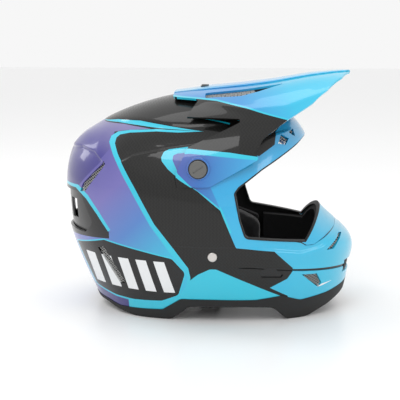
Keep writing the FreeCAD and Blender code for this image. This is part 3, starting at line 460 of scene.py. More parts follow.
def fill_grid(bm, points):
    """Quads between the points of a grid."""
    rows = [[bm.verts.new(p) for p in row] for row in points]
    for r0, r1 in zip(rows, rows[1:]):
        for k in range(len(r0) - 1):
            bm.faces.new((r0[k], r0[k + 1], r1[k + 1], r1[k]))
    return bm


REACH = 4.0    # no face's middle is further than this from its edges


def cut(bm, outline, axes):
    """Splits a sheet's faces along an outline drawn in the plane of two axes."""
    low, high = outline.min(0) - REACH, outline.max(0) + REACH
    u, v = axes
    middles = {}
    for f in bm.faces:
        c = f.calc_center_bounds()
        if low[0] < c[u] < high[0] and low[1] < c[v] < high[1]:
            middles[f] = (c[u], c[v])
    for p, q in zip(outline, np.roll(outline, -1, axis=0)):
        length = math.hypot(*(q - p))
        if length < 1e-6:
            continue
        lo, hi = np.minimum(p, q) - 3.2, np.maximum(p, q) + 3.2
        along = (q - p) / length
        near = []
        for f, c in middles.items():
            if lo[0] < c[0] < hi[0] and lo[1] < c[1] < hi[1]:
                if abs((c[0] - p[0]) * along[1] - (c[1] - p[1]) * along[0]) < REACH:
                    near.append(f)
        if not near:
            continue
        place, normal = [0.0] * 3, [0.0] * 3
        place[u], place[v] = p
        normal[u], normal[v] = -along[1], along[0]
        geom = set(near)
        for f in near:
            geom.update(f.edges)
            geom.update(f.verts)
        made = bmesh.ops.bisect_plane(bm, geom=list(geom), dist=1e-3, plane_co=place, plane_no=normal)
        for f in near:
            middles.pop(f, None)
        for g in made["geom"]:
            if isinstance(g, bmesh.types.BMFace) and g.is_valid:
                c = g.calc_center_bounds()
                middles[g] = (c[u], c[v])


SIDE, PLAN = (0, 2), (0, 1)


def region(outline, paint=None, level=None, hole=False, axes=SIDE, where=None):
    """Part of a sheet inside an outline: its paint, its height off the sheet, or a hole there."""
    return dict(outline=rounded(outline), paint=paint, level=level, hole=hole, axes=axes, where=where)


def sheet(name, bm, regions, base, project, normal, wall):
    """Cuts a half sheet into its regions, gives it a wall, mirrors it, and returns the object."""
    for r in regions:
        cut(bm, r["outline"], r["axes"])
    bm.verts.index_update()
    bm.verts.ensure_lookup_table()
    bm.faces.ensure_lookup_table()
    points = np.array([v.co[:] for v in bm.verts])
    middle = np.array([f.calc_center_median()[:] for f in bm.faces])
    flat = np.abs(points[:, 1]) < 1e-6
    points = project(points)
    points[flat, 1] = 0.0
    out = normal(points)
    out[flat, 1] = 0.0
    out /= np.linalg.norm(out, axis=1)[:, None]
    names = [base] + sorted({r["paint"] for r in regions if r["paint"]} - {base}) + ["inside"]
    paint = np.full(len(middle), 0)
    level = np.zeros(len(middle))
    keep = np.ones(len(middle), bool)
    for r in regions:
        hit = inside(middle[:, r["axes"][0]], middle[:, r["axes"][1]], r["outline"])
        if r["where"] is not None:
            hit &= r["where"](middle)
        if r["paint"]:
            paint[hit] = names.index(r["paint"])
        if r["level"] is not None:
            level[hit] = r["level"]
        if r["hole"]:
            keep[hit] = False
    verts, loops, mats, normals, index = [], [], [], [], {}

    def corner(v, lift):
        key = (v, lift)
        if key not in index:
            index[key] = len(verts)
            verts.append(points[v] + out[v] * (lift if lift != "in" else -wall))
        return index[key]

    def quad(a, b, c, d, mat):
        p = [np.array(verts[k]) for k in (a, b, c, d)]
        n = np.cross(p[2] - p[0], p[3] - p[1])
        size = np.linalg.norm(n)
        loops.append([a, b, c, d])
        mats.append(mat)
        normals.append([n / size if size > 1e-9 else np.array((0, 0, 1.0))] * 4)

    skin = len(names) - 1
    for f in bm.faces:
        if not keep[f.index]:
            continue
        ids = [v.index for v in f.verts]
        loops.append([corner(v, level[f.index]) for v in ids])
        mats.append(int(paint[f.index]))
        normals.append([out[v] for v in ids])
        loops.append([corner(v, "in") for v in ids[::-1]])
        mats.append(skin)
        normals.append([-out[v] for v in ids[::-1]])
    for e in bm.edges:
        kept = [l for l in e.link_loops if keep[l.face.index]]
        if len(kept) == 1:
            a, b = kept[0].vert.index, kept[0].link_loop_next.vert.index
            if flat[a] and flat[b]:
                continue
            h = level[kept[0].face.index]
            colour = int(paint[kept[0].face.index])
            quad(corner(b, h), corner(a, h), corner(a, "in"), corner(b, "in"), colour)
        elif len(kept) == 2 and level[kept[0].face.index] != level[kept[1].face.index]:
            top, low = sorted(kept, key=lambda l: -level[l.face.index])
            a, b = top.vert.index, top.link_loop_next.vert.index
            h, k = level[top.face.index], level[low.face.index]
            quad(corner(b, h), corner(a, h), corner(a, k), corner(b, k), int(paint[top.face.index]))
    bm.free()
    verts = np.array(verts)
    twin = np.arange(len(verts))
    off = np.abs(verts[:, 1]) > 1e-5
    twin[off] = len(verts) + np.arange(off.sum())
    mirrored = verts[off] * (1, -1, 1)
    faces = loops + [[int(twin[k]) for k in f[::-1]] for f in loops]
    mesh = bpy.data.meshes.new(name)
    mesh.from_pydata((np.vstack([verts, mirrored]) * MM).tolist(), [], faces)
    for n in names:
        mesh.materials.append(MAT[n])
    mesh.polygons.foreach_set("material_index", mats * 2)
    mesh.polygons.foreach_set("use_smooth", [True] * len(faces))
    shading = [n for f in normals for n in f] + [n * (1, -1, 1) for f in normals for n in f[::-1]]
    mesh.normals_split_custom_set([tuple(n) for n in shading])
    return link(name, mesh)


def link(name, mesh):
    """A new object in the scene."""
    made = bpy.data.objects.new(name, mesh)
    bpy.context.scene.collection.objects.link(made)
    return made


# ---------------------------------------------------------------- outlines of the shell, in the side view
EYEPORT = [(117, 95.5), (136, 124), (230, 150), (230, 212), (115, 212, 6), (106, 206, 12), (65, 182, 30),
           (39, 163, 9), (34, 156, 5), (40, 125, 40), (47, 103.5, 7)]
NOSE_GUARD = [(110, 97.5), (118, 92, 3), (126, 91.8, 6), (152, 104.5, 4), (163, 116), (142, 134),
              (128, 114)]
SHELL_EDGE = [(-150, 13), (-120, 11), (-104, 7, 6), (-50, 10, 8), (-28, 25, 8), (20, 25), (60, 25, 20),
              (90, 29, 12), (112, 21, 10), (143, 25), (180, 34)]
BELOW_EDGE = [(-260, 13)] + SHELL_EDGE + [(260, 34), (260, -140), (-260, -140)]
CHIN_UPPER_VENT = [(141, 83), (150, 82.5), (161, 96.5), (157, 98)]
CHIN_SIDE_VENT = [(113, 56.5), (123, 55.5), (131, 55), (137, 42, 2), (133, 37)]
CHEEK_RECESS = [(63, 66.5), (83, 65), (91, 58), (89, 55), (66, 56.5)]
CHEEK_GROOVE = [(40, 68.4), (58, 67.4), (168, 54), (182, 52.5), (182, 56), (168, 57.5), (58, 69.4),
                (40, 69)]
BROW_VENT = [(83, 208), (86, 217.5), (95.5, 212), (91, 205.5)]
BROW_VENT_INNER = [(95, 219), (101, 222), (103, 213)]
REAR_UPPER_VENT = [(-151, 148), (-147, 158), (-127, 179), (-119, 187), (-117, 184), (-144, 149)]
REAR_LOWER_VENT = [(-129, 82), (-121, 85), (-105, 60), (-94, 42), (-102, 41)]
REAR_PORT = [(-200, 147), (-152, 147, 6), (-134, 112, 8), (-146, 98, 4), (-200, 101)]
VISOR_TAB = [(-34, 176), (-31, 162), (-10, 162), (-14, 170)]

REAR_FIELD = [(-260, 226), (-129, 228), (-110, 219), (-109, 210), (-105, 196), (-83, 159), (-60, 118),
              (-37, 88), (-20, 67), (-17, 56), (-19, 44), (-26, 34), (-49, 21), (-60, -140), (-260, -140)]
PURPLE_FIELD = [(-260, 218), (-165, 216), (-129, 227.5), (-100, 228), (-65, 225), (-93, 222), (-110, 219),
                (-115, 213), (-113, 201), (-126, 184), (-145, 164), (-157, 150), (-171, 155), (-260, 158)]
SWOOSH = [(-131, 228), (-108, 231.4), (-79, 232.2), (-51, 229.4), (-30, 227.2), (-2, 224), (-32, 225.4),
          (-56, 226.2), (-81, 228), (-108, 229.2)]
MAIN_STRIPE = [(-2, 224.2), (-32, 224.7), (-58, 225), (-90, 222.3), (-105, 219.5), (-113, 214.5),
               (-114.5, 208), (-108, 195), (-85, 157), (-62, 117), (-39, 86), (-21.5, 66), (-18.5, 56),
               (-20.5, 45), (-28, 35), (-50, 22.5), (-48, 19.5), (-25, 32.5), (-17.5, 43.5), (-15.5, 56),
               (-18, 68), (-34, 90), (-57, 119), (-80, 160), (-102, 196), (-107, 207), (-106, 213),
               (-102, 216.5), (-90, 219.5), (-58, 222.5), (-32, 222.3)]
REAR_BLACK = [(-260, 151), (-170, 151), (-158, 152), (-143, 141), (-129, 125), (-113, 105), (-113, 96),
              (-260, 84)]
REAR_EDGE = [(-260, 155), (-170, 154.5), (-154, 155), (-140, 145), (-126, 128), (-111, 107), (-114, 104.5),
             (-129, 124.6), (-143, 140.6), (-158, 151), (-170, 151), (-260, 151.5)]
BADGE = [(-163, 83, 3), (-120, 95, 3), (-36, 80, 8), (-20, 62, 8), (-29, 32, 8), (-50, 23, 4), (-85, 21, 4),
         (-109, 22, 4), (-138, 28, 4)]
BAR_HIGH, BAR_LOW = 74, 36
BAR_WIDTH, BAR_LEAN, BAR_PITCH = 13, 12, 22
BARS = [[(x, BAR_HIGH), (x + BAR_WIDTH, BAR_HIGH), (x + BAR_WIDTH + BAR_LEAN, BAR_LOW),
         (x + BAR_LEAN, BAR_LOW)] for x in range(-147, -58, BAR_PITCH)]
FRAME = [(62, 196), (79, 207), (80, 220), (92, 232), (110, 252), (300, 252), (300, -140), (97, -140),
         (97, 31), (76, 43), (96, 53), (102, 62), (102, 66), (80, 88), (37, 93), (30, 110), (19, 137),
         (-6, 158), (-27, 171), (-41, 182), (-48, 190), (-49, 194), (-46, 200, 3), (-40, 203, 3),
         (-19, 206), (29, 202)]
WING_BAND = [(-49, 194), (-46, 200, 3), (-40, 203, 3), (-19, 206), (0, 204.5), (0, 162), (20, 140),
             (32, 112), (30, 110), (19, 137), (-6, 158), (-27, 171), (-41, 182), (-48, 190)]
WING = [(-36, 192, 2), (-35, 197, 2), (-30, 199, 2), (-16, 200.4), (29, 196.5), (60, 193.5), (8, 163),
        (19, 139), (5, 151), (-15, 165), (-29, 178)]
FOOT_PANEL = [(-18, 51), (-7, 60, 6), (7, 67, 6), (14, 67, 4), (23, 63), (53, 49), (92, 30), (92, -140),
              (-22, -140)]
NAPE_FIELD = [(-180, 36), (-138, 27.5), (-109, 21.5), (-92, 20.5), (-86, -140), (-180, -140)]
SILL_FIELD = [(-92, 20.6), (-85, 20.6), (-50, 22.4), (-29, 31.6), (-18, 47), (-17, -140), (-86, -140)]
GUARD_SEAM = ribbon([(106, 97), (112, 95.5), (118, 91.6), (126, 91.2), (140, 97.6), (152, 103.8),
                     (158, 109), (164, 116)], 1.5)
CHEEK_LINE = ribbon([(-34, 94), (7, 93), (37, 93.6)], 0.9)
PIN_A = ribbon([(-5, 237), (12, 234), (28, 231.5)], 1.2)
PIN_B = ribbon([(36, 235), (58, 231), (82, 227.5)], 1.4)
CHEVRON = [(131, 37), (137, 40.5), (150, 42), (139, 38.6)]

MOUTH = [(100, 47.5), (230, 47.5), (230, 62.5), (100, 62.5)]
CHIN_GAP, BROW_GAP, REAR_GAP = 20, 36, 20    # the vents stay this far off the middle
MOUTH_HALF = 38


def middle_of(node):
    """Middle of a CAD node, in mm."""
    low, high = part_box(node)
    return (low + high) / 2 / MM


pivot = middle_of("visor_screw_right")
rivet = middle_of("strap_rivet_right")


def off_middle(gap):
    """Picks the points further than gap from the middle plane."""
    return lambda p: np.abs(p[:, 1]) > gap


def crease(line, width=3.6):
    """Edges on both sides of a crease, so that it stays crisp."""
    return [region(ribbon(line, width)), region(ribbon(line, 0.8))]


REGIONS = crease(SHOULDER) + crease(CROWN_EDGE) + crease(CHIN_RIM) + crease(REAR_LIP) + [
    region(REAR_FIELD, "violet"),
    region(PURPLE_FIELD, "purple"),
    region(SWOOSH, "cyan", where=off_middle(4)),
    region(REAR_BLACK, "black"),
    region(REAR_EDGE, "cyan"),
    region(MAIN_STRIPE, "cyan"),
    region(FRAME, "light_blue"),
    region(WING_BAND, "cyan"),
    region(WING, "wing"),
    region(FOOT_PANEL, "cyan"),
    region(NAPE_FIELD, "purple"),
    region(SILL_FIELD, "cyan"),
    region(BADGE, "cyan"),
]


def inset(points, by):
    """An outline moved inwards by a small distance."""
    line = rounded(points)
    ahead = np.roll(line, -1, axis=0) - np.roll(line, 1, axis=0)
    ahead /= np.maximum(np.linalg.norm(ahead, axis=1), 1e-9)[:, None]
    area = np.sum(line[:, 0] * np.roll(line[:, 1], -1) - line[:, 1] * np.roll(line[:, 0], -1))
    out = np.stack([-ahead[:, 1], ahead[:, 0]], axis=1) * (1 if area > 0 else -1)
    return [tuple(p) for p in line + out * by]


REGIONS += [region(inset(BADGE, 1.6), "black")]
REGIONS += [region(bar, "white") for bar in BARS]
REGIONS += [
    region(CHEEK_GROOVE, "black", level=-1.4),
    region(CHEEK_RECESS, "black", level=-1.5),
    region(VISOR_TAB, "black", level=-1.5),
    region(GUARD_SEAM, "black", level=-1.0),
    region(CHEEK_LINE, "black"),
    region(PIN_A, "cyan"),
    region(PIN_B, "cyan"),
    region(CHEVRON, "white"),
    region(circle(rivet[0], rivet[2], 5.8), level=-0.8),
    region(circle(rivet[0], rivet[2], 2.6), hole=True),
    region(circle(pivot[0], pivot[2], 9.8), hole=True),
    region(EYEPORT, hole=True),
    region(NOSE_GUARD, hole=True),
    region(REAR_PORT, hole=True),
    region(CHIN_UPPER_VENT, hole=True, where=off_middle(CHIN_GAP)),
    region(CHIN_SIDE_VENT, hole=True, where=off_middle(CHIN_GAP)),
    region(BROW_VENT, hole=True, where=off_middle(BROW_GAP)),
    region(BROW_VENT_INNER, hole=True, where=off_middle(BROW_GAP)),
    region(REAR_UPPER_VENT, hole=True, where=off_middle(REAR_GAP)),
    region(REAR_LOWER_VENT, hole=True, where=off_middle(REAR_GAP)),
    region(BELOW_EDGE, hole=True),
    region(MOUTH, hole=True, where=lambda p: np.abs(p[:, 1]) < MOUTH_HALF),
]

shell = sheet("shell_painted", shell_grid(124), REGIONS, "carbon",
              shell_project, shell_normal, WALL)
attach(shell, "shell")
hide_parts("outer_shell")

# ---------------------------------------------------------------- visor
VISOR_SIDE = [(-60, 300), (-60, 240), (38, 238), (43, 236, 2), (29, 229, 4), (-19, 207, 6), (-32, 177, 8),
              (-28, 163, 6), (7, 163.5, 12), (64, 195.5, 3), (57, 200, 3), (67, 217, 10), (92, 236, 30),
              (140, 266, 20), (172, 285), (195, 300)]
REAR_TRIM = [(-110, -99), (-27, -99, 5), (-9, -60, 6), (-42, -42, 8), (-42, 42, 8), (-9, 60, 6),
             (-27, 99, 5), (-110, 99)]
FRONT_TRIM = [(230, 99), (98, 99), (139, 66, 8), (157, 42, 12), (170, 0, 9), (157, -42, 12), (139, -66, 8),
              (98, -99), (230, -99)]
VISOR_SLOT = [(-3, -44, 2), (-2, -60, 3), (40, -62, 3), (60, -56, 3), (92, -40, 1), (45, -44, 4)]
OUTSIDE = [(-300, 400), (-300, -100), (400, -100), (400, 400)]
VISOR_BLACK = [(-80, 262), (-9, 258), (12, 256), (47, 249), (93, 238), (96, 225), (66, 196), (29, 202),
               (-19, 206), (-60, 206)]
VISOR_LINE = ribbon([(-80, 262), (-9, 258), (12, 256), (47, 249), (93, 238), (100, 236)], 1.6)
ARM_CYAN = [(-60, 206), (-19, 206), (29, 202), (70, 196), (70, 150), (-60, 150)]
ARM_BLACK = [(-60, 194), (-48, 190), (-41, 182), (-27, 171), (-6, 158), (-6, 140), (-60, 140)]
PANEL = [(-60, 22), (60, 26), (120, 20), (168, 5), (168, -5), (120, -20), (60, -26), (-60, -22)]


def beyond_visor(p):
    """Picks the points outside the visor's side outline."""
    return ~inside(p[:, 0], p[:, 2], rounded(VISOR_SIDE))


VISOR_REGIONS = [
    region(VISOR_BLACK, "carbon"),
    region(ARM_CYAN, "cyan"),
    region(WING, "wing"),
    region(ARM_BLACK, "carbon"),
    region(VISOR_LINE, "cyan"),
    region(PANEL, "visor_top", level=0.8, axes=PLAN, where=lambda p: p[:, 2] > 240),
    region(VISOR_SLOT, hole=True, axes=PLAN, where=lambda p: p[:, 2] > 200),
    region(REAR_TRIM, hole=True, axes=PLAN),
    region(FRONT_TRIM, hole=True, axes=PLAN),
    region(circle(pivot[0], pivot[2], PAD_RADIUS), hole=True),
    region(VISOR_SIDE),
    region(OUTSIDE, hole=True, where=beyond_visor),
]
visor = sheet("visor_painted", visor_grid(92, 72), VISOR_REGIONS, "visor_side",
              visor_project, visor_normal, VISOR_WALL)
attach(visor, "visor")
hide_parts("visor")


def lathe(name, profile, centre, side, paint, segments=64):
    """A round piece about an axis along Y, from a profile of (radius, distance from the middle plane)."""
    verts, faces = [], []
    for r, y in profile:
        for k in range(segments):
            a = 2 * math.pi * k / segments
            x, z = centre[0] + r * math.cos(a), centre[2] + r * math.sin(a)
            verts.append((x * MM, side * y * MM, z * MM))
    for i in range(len(profile) - 1):
        for k in range(segments):
            n = (k + 1) % segments
            f = (i * segments + k, i * segments + n, (i + 1) * segments + n, (i + 1) * segments + k)
            faces.append(f if side > 0 else f[::-1])
    mesh = bpy.data.meshes.new(name)
    mesh.from_pydata(verts, [], faces)
    mesh.materials.append(paint)
    mesh.validate()
    return link(name, mesh)


def join(pieces, name):
    """Joins several meshes into the first one."""
    bpy.ops.object.select_all(action="DESELECT")
    for p in pieces:
        p.select_set(True)
    bpy.context.view_layer.objects.active = pieces[0]
    bpy.ops.object.join()
    pieces[0].name = name
    return pieces[0]


SCREW_HEAD = 2.6


def pair(name, profile, paint):
    """A round piece on each end of the visor's tilt axis."""
    return [lathe(name, profile, pivot, side, paint) for side in (-1, 1)]


seat = -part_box("visor_screw_right")[0][1] / MM - SCREW_HEAD
back_face = seat - VISOR_WALL
pads = pair("pad", [(3.2, back_face), (10.4, back_face), (10.4, seat - 12), (12.6, seat - 12),
                    (PAD_RADIUS, seat - 11), (PAD_RADIUS, seat - 0.8), (12.2, seat), (3.2, seat),
                    (3.2, back_face)], MAT["wing"])
# Painted shade: a thin black ring round each screw head stands in for the dark recess where the head sits in
# its pad.
pads += pair("ring", [(9.9, seat - 0.05), (11.2, seat - 0.05), (11.2, seat + 0.3), (10.3, seat + 0.3),
                      (9.9, seat - 0.05)], MAT["black"])
pads = join(pads, "visor_pads")
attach(pads, "visor")
bosses = pair("boss", [(3.1, seat - 3), (9.8, seat - 3), (9.8, seat - 17), (6.1, seat - 17), (6.1, seat - 9),
                       (3.1, seat - 9), (3.1, seat - 3)], MAT["inside"])
bosses = join(bosses, "shell_bosses")
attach(bosses, "shell")


TOP_HEAD = 1.6
WASHER_RADIUS, WASHER_DEPTH = 5.6, 1.5
top_low, top_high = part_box("visor_top_screw")
head_under = top_high.z - TOP_HEAD * MM
bpy.ops.mesh.primitive_cylinder_add(vertices=48, radius=WASHER_RADIUS * MM, depth=WASHER_DEPTH * MM,
                                    location=((top_low.x + top_high.x) / 2, 0,
                                              head_under - WASHER_DEPTH / 2 * MM))
washer = bpy.context.object
washer.name = "top_washer"
washer.data.materials.append(finish("washer_rubber", (18, 18, 18), 0.6, scale=1500, spread=0.15, bump=0.15))
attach(washer, "visor_top_screw")


# ---------------------------------------------------------------- wire mesh
WIRE_PITCH = 2.6
WIRE_RADIUS = 0.42


def wires(name, node, outline, axes, project, normal, depth, gap, body, grow):
    """Crossed wires that follow a surface behind an opening, on both sides."""
    line = rounded(inset(outline, -grow))
    low, high = line.min(0), line.max(0)
    size = float(np.hypot(*(high - low)))
    centre = (low + high) / 2
    verts, faces = [], []
    for family, turn in enumerate((math.radians(38), math.radians(-38))):
        along = np.array([math.cos(turn), math.sin(turn)])
        across = np.array([-along[1], along[0]])
        for k in range(-int(size / WIRE_PITCH), int(size / WIRE_PITCH) + 1):
            t = np.arange(-size, size, 0.65)
            flat = centre + across * k * WIRE_PITCH + t[:, None] * along
            hit = inside(flat[:, 0], flat[:, 1], line)
            start = None
            for i in range(len(t) + 1):
                if i < len(t) and hit[i]:
                    start = i if start is None else start
                    continue
                if start is not None and i - start > 3:
                    strand(verts, faces, flat[start:i], t[start:i], k + family, axes, project, normal,
                           depth, gap)
                start = None
    count = len(verts)
    verts += [(x, -y, z) for x, y, z in verts]
    faces += [tuple(count + k for k in f[::-1]) for f in faces]
    mesh = bpy.data.meshes.new(name)
    mesh.from_pydata((np.array(verts) * MM).tolist(), [], faces)
    mesh.polygons.foreach_set("use_smooth", [True] * len(faces))
    mesh.materials.append(steel_mesh)
    made = link(name, mesh)
    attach(made, body)
    if node:
        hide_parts(node)


def strand(verts, faces, flat, t, count, axes, project, normal, depth, gap):
    """One wire: a four sided tube that passes over and under those it crosses."""
    third = 3 - axes[0] - axes[1]
    p = np.zeros((len(flat), 3))
    p[:, axes[0]], p[:, axes[1]] = flat[:, 0], flat[:, 1]
    p[:, third] = -60.0 if third == 1 else 262.0
    for _ in range(24):
        n = normal(p)
        off = (project(p) - p) * n
        slant = n[:, third]
        step = off.sum(axis=1) / np.where(np.abs(slant) < 0.2, 0.2 * np.sign(slant + 1e-9), slant)
        p[:, third] += np.clip(step, -12, 12)
        if third == 1:
            p[:, 1] = np.minimum(p[:, 1], -1.0)
    good = np.abs((project(p) - p)).max(axis=1) < 1.5
    good &= np.abs(p[:, 1]) > gap
    if good.sum() < 4:
        return
    p, t = p[good], t[good]
    n = normal(p)
    lift = 0.35 * WIRE_RADIUS * np.cos(t * math.pi / WIRE_PITCH + math.pi * count)
    p = p - n * (depth - lift)[:, None]
    ahead = np.gradient(p, axis=0)
    ahead /= np.maximum(np.linalg.norm(ahead, axis=1), 1e-9)[:, None]
    across = np.cross(n, ahead)
    base = len(verts)
    for a in range(4):
        turn = math.pi / 4 + a * math.pi / 2
        ring = p + WIRE_RADIUS * (math.cos(turn) * across + math.sin(turn) * n)
        verts += [tuple(q) for q in ring]
    m = len(p)
    for a in range(4):
        b = (a + 1) % 4
        for i in range(m - 1):
            faces.append((base + a * m + i, base + a * m + i + 1, base + b * m + i + 1, base + b * m + i))


steel_mesh = finish("steel_mesh", (176, 176, 174), 0.42, "brushed", 900, 0.15, 0.1, metal=0.7)
SHELL_MESH_DEPTH, VISOR_MESH_DEPTH = 1.7, 3.2
for name, node, outline, gap in (
        ("brow_mesh", "brow_vent_screens", BROW_VENT, BROW_GAP),
        ("brow_mesh_inner", None, BROW_VENT_INNER, BROW_GAP),
        ("chin_upper_mesh", "chin_upper_screens", CHIN_UPPER_VENT, CHIN_GAP),
        ("chin_side_mesh", "chin_side_screens", CHIN_SIDE_VENT, CHIN_GAP),
        ("rear_upper_mesh", "rear_upper_screens", REAR_UPPER_VENT, REAR_GAP),
        ("rear_lower_mesh", "rear_lower_screens", REAR_LOWER_VENT, REAR_GAP)):
    wires(name, node, outline, SIDE, shell_project, shell_normal, SHELL_MESH_DEPTH, gap, "shell", -0.2)
SCOOP_MESH = [(-5, -43), (-4, -61), (40, -63), (58, -57), (54, -43)]
wires("visor_mesh", "visor_screens", SCOOP_MESH, PLAN, visor_project, visor_normal, VISOR_MESH_DEPTH, 0,
      "visor", 0.5)

# ---------------------------------------------------------------- CAD pieces with their finishes
def plain(name, shade, rough, detail, scale=1500, coat=0.0):
    """Moulded rubber or plastic."""
    return finish(name, shade, rough, scale=scale, spread=detail[0], bump=detail[1], coat=coat)


def metal(name, shade, rough, scale=900, detail=(0.1, 0.1), amount=1.0):
    """Brushed or polished metal."""
    return finish(name, shade, rough, "brushed", scale, *detail, metal=amount)


def beads(name, shade):
    """Moulded foam beads."""
    return finish(name, shade, 0.9, "beads", 420, 0.2, 0.5, 0.3)


dress("bottom_trim", plain("edge_rubber", (20, 20, 20), 0.62, (0.18, 0.18)))
dress("eyeport_trim", plain("gasket_rubber", (18, 18, 19), 0.6, (0.18, 0.18)))
dress("nose_guard", finish("guard", None, 0.3, scale=2200, spread=0.03, bump=0.04, coat=0.5,
                           ramp=[(0.0, (36, 168, 212)), (1.0, (62, 184, 218))],
                           line=((110, 0, 92), (165, 0, 118))))
dress("rear_port", plain("port", (10, 10, 10), 0.3, (0.15, 0.05), 1200, coat=0.3))
dress("mouth_grille", plain("grille", (20, 20, 20), 0.4, (0.15, 0.15), 1400))
dress("visor_inserts", metal("brass", (186, 152, 84), 0.35))
screw_steel = metal("screw_steel", (112, 112, 110), 0.38, 700, (0.12, 0.12), 0.9)
for name in ("visor_screw_left", "visor_screw_right", "visor_top_screw"):
    dress(name, screw_steel)
rivet_steel = metal("rivet_steel", (206, 202, 198), 0.32, 700, (0.08, 0.08), 0.85)
for side in ("left", "right"):
    dress("strap_rivet_" + side, rivet_steel)
    dress("strap_anchor_" + side, metal("hanger_steel_" + side, (120, 120, 122), 0.34))
    dress("cheek_foam_" + side, beads("cheek_beads_" + side, (34, 34, 36)))
    dress("cheek_studs_" + side, plain("stud_" + side, (18, 18, 18), 0.4, (0.1, 0.1)))
    dress("release_tab_" + side, finish("red_tab_" + side, (178, 30, 34), 0.75, "webbing", 260, 0.2, 0.6,
                                        0.3))
dress("outer_liner", beads("outer_beads", (30, 30, 32)))
dress("inner_liner", beads("inner_beads", (44, 44, 47)))
dress("chin_foam", beads("chin_beads", (26, 26, 28)))
dress("isolation_dampers", plain("damper", (30, 120, 200), 0.55, (0.1, 0.1), 1200))
dress("strap_snap", plain("snap", (16, 16, 16), 0.35, (0.1, 0.1)))
dress("d_rings", metal("ring_steel", (176, 176, 178), 0.25, 700, (0.06, 0.05)))


# ---------------------------------------------------------------- soft pieces
def copy_of(name, made):
    """A new object with a CAD node's shape."""
    mesh = nodes[name].data.copy()
    mesh.materials.clear()
    return link(made, mesh)


def apply(obj, kind, **settings):
    """Adds a modifier with its settings and applies it."""
    mod = obj.modifiers.new(kind.lower(), kind)
    for key, value in settings.items():
        setattr(mod, key, value)
    bpy.context.view_layer.objects.active = obj
    bpy.ops.object.modifier_apply(modifier=mod.name)


def coords(obj, field="co"):
    """The vertices' places, or their normals."""
    out = np.empty(len(obj.data.vertices) * 3)
    obj.data.vertices.foreach_get(field, out)
    return out.reshape(-1, 3)


def put(obj, points):
    """Moves the vertices to new places."""
    obj.data.vertices.foreach_set("co", points.ravel())
    obj.data.update()


def puff(obj, pressure, cap, frames=16):
    """Fills a closed piece like a cushion, moving no point further than cap."""
    before = coords(obj)
    cloth = obj.modifiers.new("cloth", "CLOTH")
    s = cloth.settings
    s.use_pressure = True
    s.uniform_pressure_force = pressure
    s.quality = 5
    s.mass = 0.3
    s.tension_stiffness = 12
    s.compression_stiffness = 12
    s.shear_stiffness = 5
    s.bending_stiffness = 0.4
    s.effector_weights.gravity = 0.0
    scene = bpy.context.scene
    scene.frame_start, scene.frame_end = 1, frames
    cloth.point_cache.frame_start, cloth.point_cache.frame_end = 1, frames
    for k in range(1, frames + 1):
        scene.frame_set(k)
    bpy.context.view_layer.objects.active = obj
    bpy.ops.object.modifier_apply(modifier=cloth.name)
    scene.frame_set(1)
    move = coords(obj) - before
    size = np.linalg.norm(move, axis=1)
    move *= (np.minimum(size, cap) / np.maximum(size, 1e-9))[:, None]
    put(obj, before + move)


def stitch(obj, seams, width, depth):
    """Presses seams into a padded piece: each seam gives the distance of points from it, in mm."""
    p = coords(obj)
    normals = coords(obj, "normal")
    push = np.zeros(len(p))
    for seam in seams:
        push = np.maximum(push, depth * np.exp(-(seam(p / MM) / width) ** 2))
    put(obj, p - normals * push[:, None] * MM)


def settle(obj, node, paint, body):
    """Gives a finished soft piece its finish and its body, and hides the CAD node that it stands for."""
    obj.data.polygons.foreach_set("use_smooth", [True] * len(obj.data.polygons))
    obj.data.materials.append(paint)
    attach(obj, body)
    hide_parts(node)


def soft(node, made, voxel, paint, body, pressure, cap, seams, width, depth):
    """A padded piece from its CAD solid: remeshed, filled, smoothed and stitched."""
    obj = copy_of(node, made)
    apply(obj, "REMESH", mode="VOXEL", voxel_size=voxel * MM)
    apply(obj, "SMOOTH", factor=0.5, iterations=3)
    puff(obj, pressure, cap * MM)
    apply(obj, "SUBSURF", levels=1, render_levels=1)
    stitch(obj, seams, width, depth)
    settle(obj, node, paint, body)


fabric = finish("pad_fabric", (30, 30, 32), 0.92, "weave", 300, 0.25, 0.5, 0.25, sheen=0.35)
mesh_fabric = finish("mesh_fabric", (24, 25, 28), 0.95, "beads", 700, 0.35, 0.7, 0.4, sheen=0.3)
roll_fabric = finish("roll_fabric", (26, 26, 28), 0.9, "weave", 260, 0.25, 0.5, 0.25, sheen=0.35)
sleeve_fabric = finish("sleeve_fabric", (28, 28, 30), 0.9, "weave", 360, 0.25, 0.5, 0.25, sheen=0.3)


def near_line(line):
    """Distance from a line in the side view."""
    return lambda p: beside(p[:, 0], p[:, 2], line)


for side in ("left", "right"):
    soft("cheek_pad_" + side, "cheek_cushion_" + side, 3.2, fabric, "cheek_pad_" + side, 4.0, 1.6,
         [near_line([(-60, 88), (-20, 84), (30, 90)]), near_line([(-30, 34), (-22, 60), (-28, 84)]),
          near_line([(18, 30), (26, 60), (20, 86)])], 2.4, 2.2)
soft("comfort_liner", "comfort_padding", 4.0, mesh_fabric, "inner_liner", 3.0, 1.2,
     [lambda p: p[:, 1] - 26, lambda p: p[:, 1] + 26,
      near_line([(-120, 120), (-60, 190), (30, 215), (110, 240)]),
      near_line([(-100, 64), (-60, 150), (60, 200)])], 2.6, 2.4)
soft("neck_roll", "neck_cushion", 3.2, roll_fabric, "inner_liner", 4.0, 1.6,
     [lambda p: p[:, 1] - 40, lambda p: p[:, 1] + 40, lambda p: p[:, 1]], 2.4, 2.4)
soft("strap_pads", "strap_sleeves", 1.6, sleeve_fabric, "chin_strap", 2.0, 0.6,
     [lambda p: np.abs(p[:, 0] - rivet[0]) - 12.5], 1.0, 0.8)


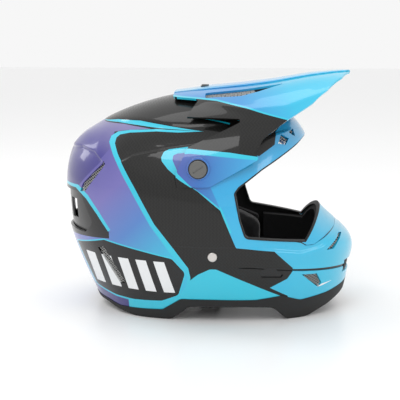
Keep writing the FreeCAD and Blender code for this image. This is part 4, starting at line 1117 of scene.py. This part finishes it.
def webbing(node, made, paint):
    """Woven strap: a fine skin over the strap with its ribs across and a stitched line near each edge."""
    obj = copy_of(node, made)
    apply(obj, "REMESH", mode="VOXEL", voxel_size=0.9 * MM)
    apply(obj, "SMOOTH", factor=0.5, iterations=1)
    p = coords(obj)
    normals = coords(obj, "normal")
    along = np.hypot(p[:, 1], p[:, 2]) / MM
    ribs = 0.12 * np.sin(along * 2 * math.pi / 2.4) * (np.abs(normals[:, 0]) < 0.5)
    seam = 0.15 * np.exp(-((np.abs(p[:, 0] / MM - rivet[0]) - 9.5) / 0.9) ** 2)
    put(obj, p + normals * (ribs - seam)[:, None] * MM)
    settle(obj, node, paint, "chin_strap")


strap_cloth = finish("strap_cloth", (22, 22, 23), 0.85, "webbing", 240, 0.3, 0.6, 0.3, sheen=0.2)
webbing("chin_strap", "strap_webbing", strap_cloth)
webbing("strap_tail", "strap_free_end", strap_cloth)

# ---------------------------------------------------------------- floor, light, camera
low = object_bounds()[0]
bpy.ops.mesh.primitive_plane_add(size=12, location=(0, 0, low.z - 0.0002))
floor = bpy.context.object
floor.name = "floor"
floor.data.materials.append(finish("floor", (246, 246, 246), 0.3, scale=3, spread=0.01, bump=0.0))

world = bpy.data.worlds.new("studio")
bpy.context.scene.world = world
world.use_nodes = True
sky = world.node_tree.nodes["Background"]
sky.inputs["Color"].default_value = (1.0, 1.0, 1.0, 1.0)
sky.inputs["Strength"].default_value = 0.93

TARGET = Vector((-0.0125, 0.0, 0.127))
DISTANCE = 1.3
AZIMUTH, ELEVATION = math.radians(4), math.radians(10)
LENS = 93.6


def softbox(name, place, size, power):
    """A rectangular area light aimed at the helmet."""
    light = bpy.data.lights.new(name, "AREA")
    light.shape = "RECTANGLE"
    light.size, light.size_y = size
    light.energy = power
    obj = bpy.data.objects.new(name, light)
    bpy.context.scene.collection.objects.link(obj)
    obj.location = place
    obj.rotation_euler = (TARGET - Vector(place)).to_track_quat("-Z", "Y").to_euler()


softbox("key", (-0.5, -1.3, 1.5), (1.0, 0.6), 7)
softbox("front", (1.5, -0.9, 0.9), (0.7, 0.7), 4)
softbox("top", (0.0, 0.3, 1.9), (1.6, 0.7), 6)
softbox("rear", (-1.5, 0.5, 1.0), (0.4, 1.0), 4)

level = math.cos(ELEVATION)
back = Vector((math.sin(AZIMUTH) * level, -math.cos(AZIMUTH) * level, math.sin(ELEVATION)))
lens = bpy.data.cameras.new("camera")
lens.lens = LENS
lens.sensor_width = 36.0
camera = bpy.data.objects.new("camera", lens)
bpy.context.scene.collection.objects.link(camera)
camera.location = TARGET + back * DISTANCE
camera.rotation_euler = (-back).to_track_quat("-Z", "Y").to_euler()
bpy.context.scene.camera = camera
bpy.context.scene.view_settings.view_transform = "Standard"
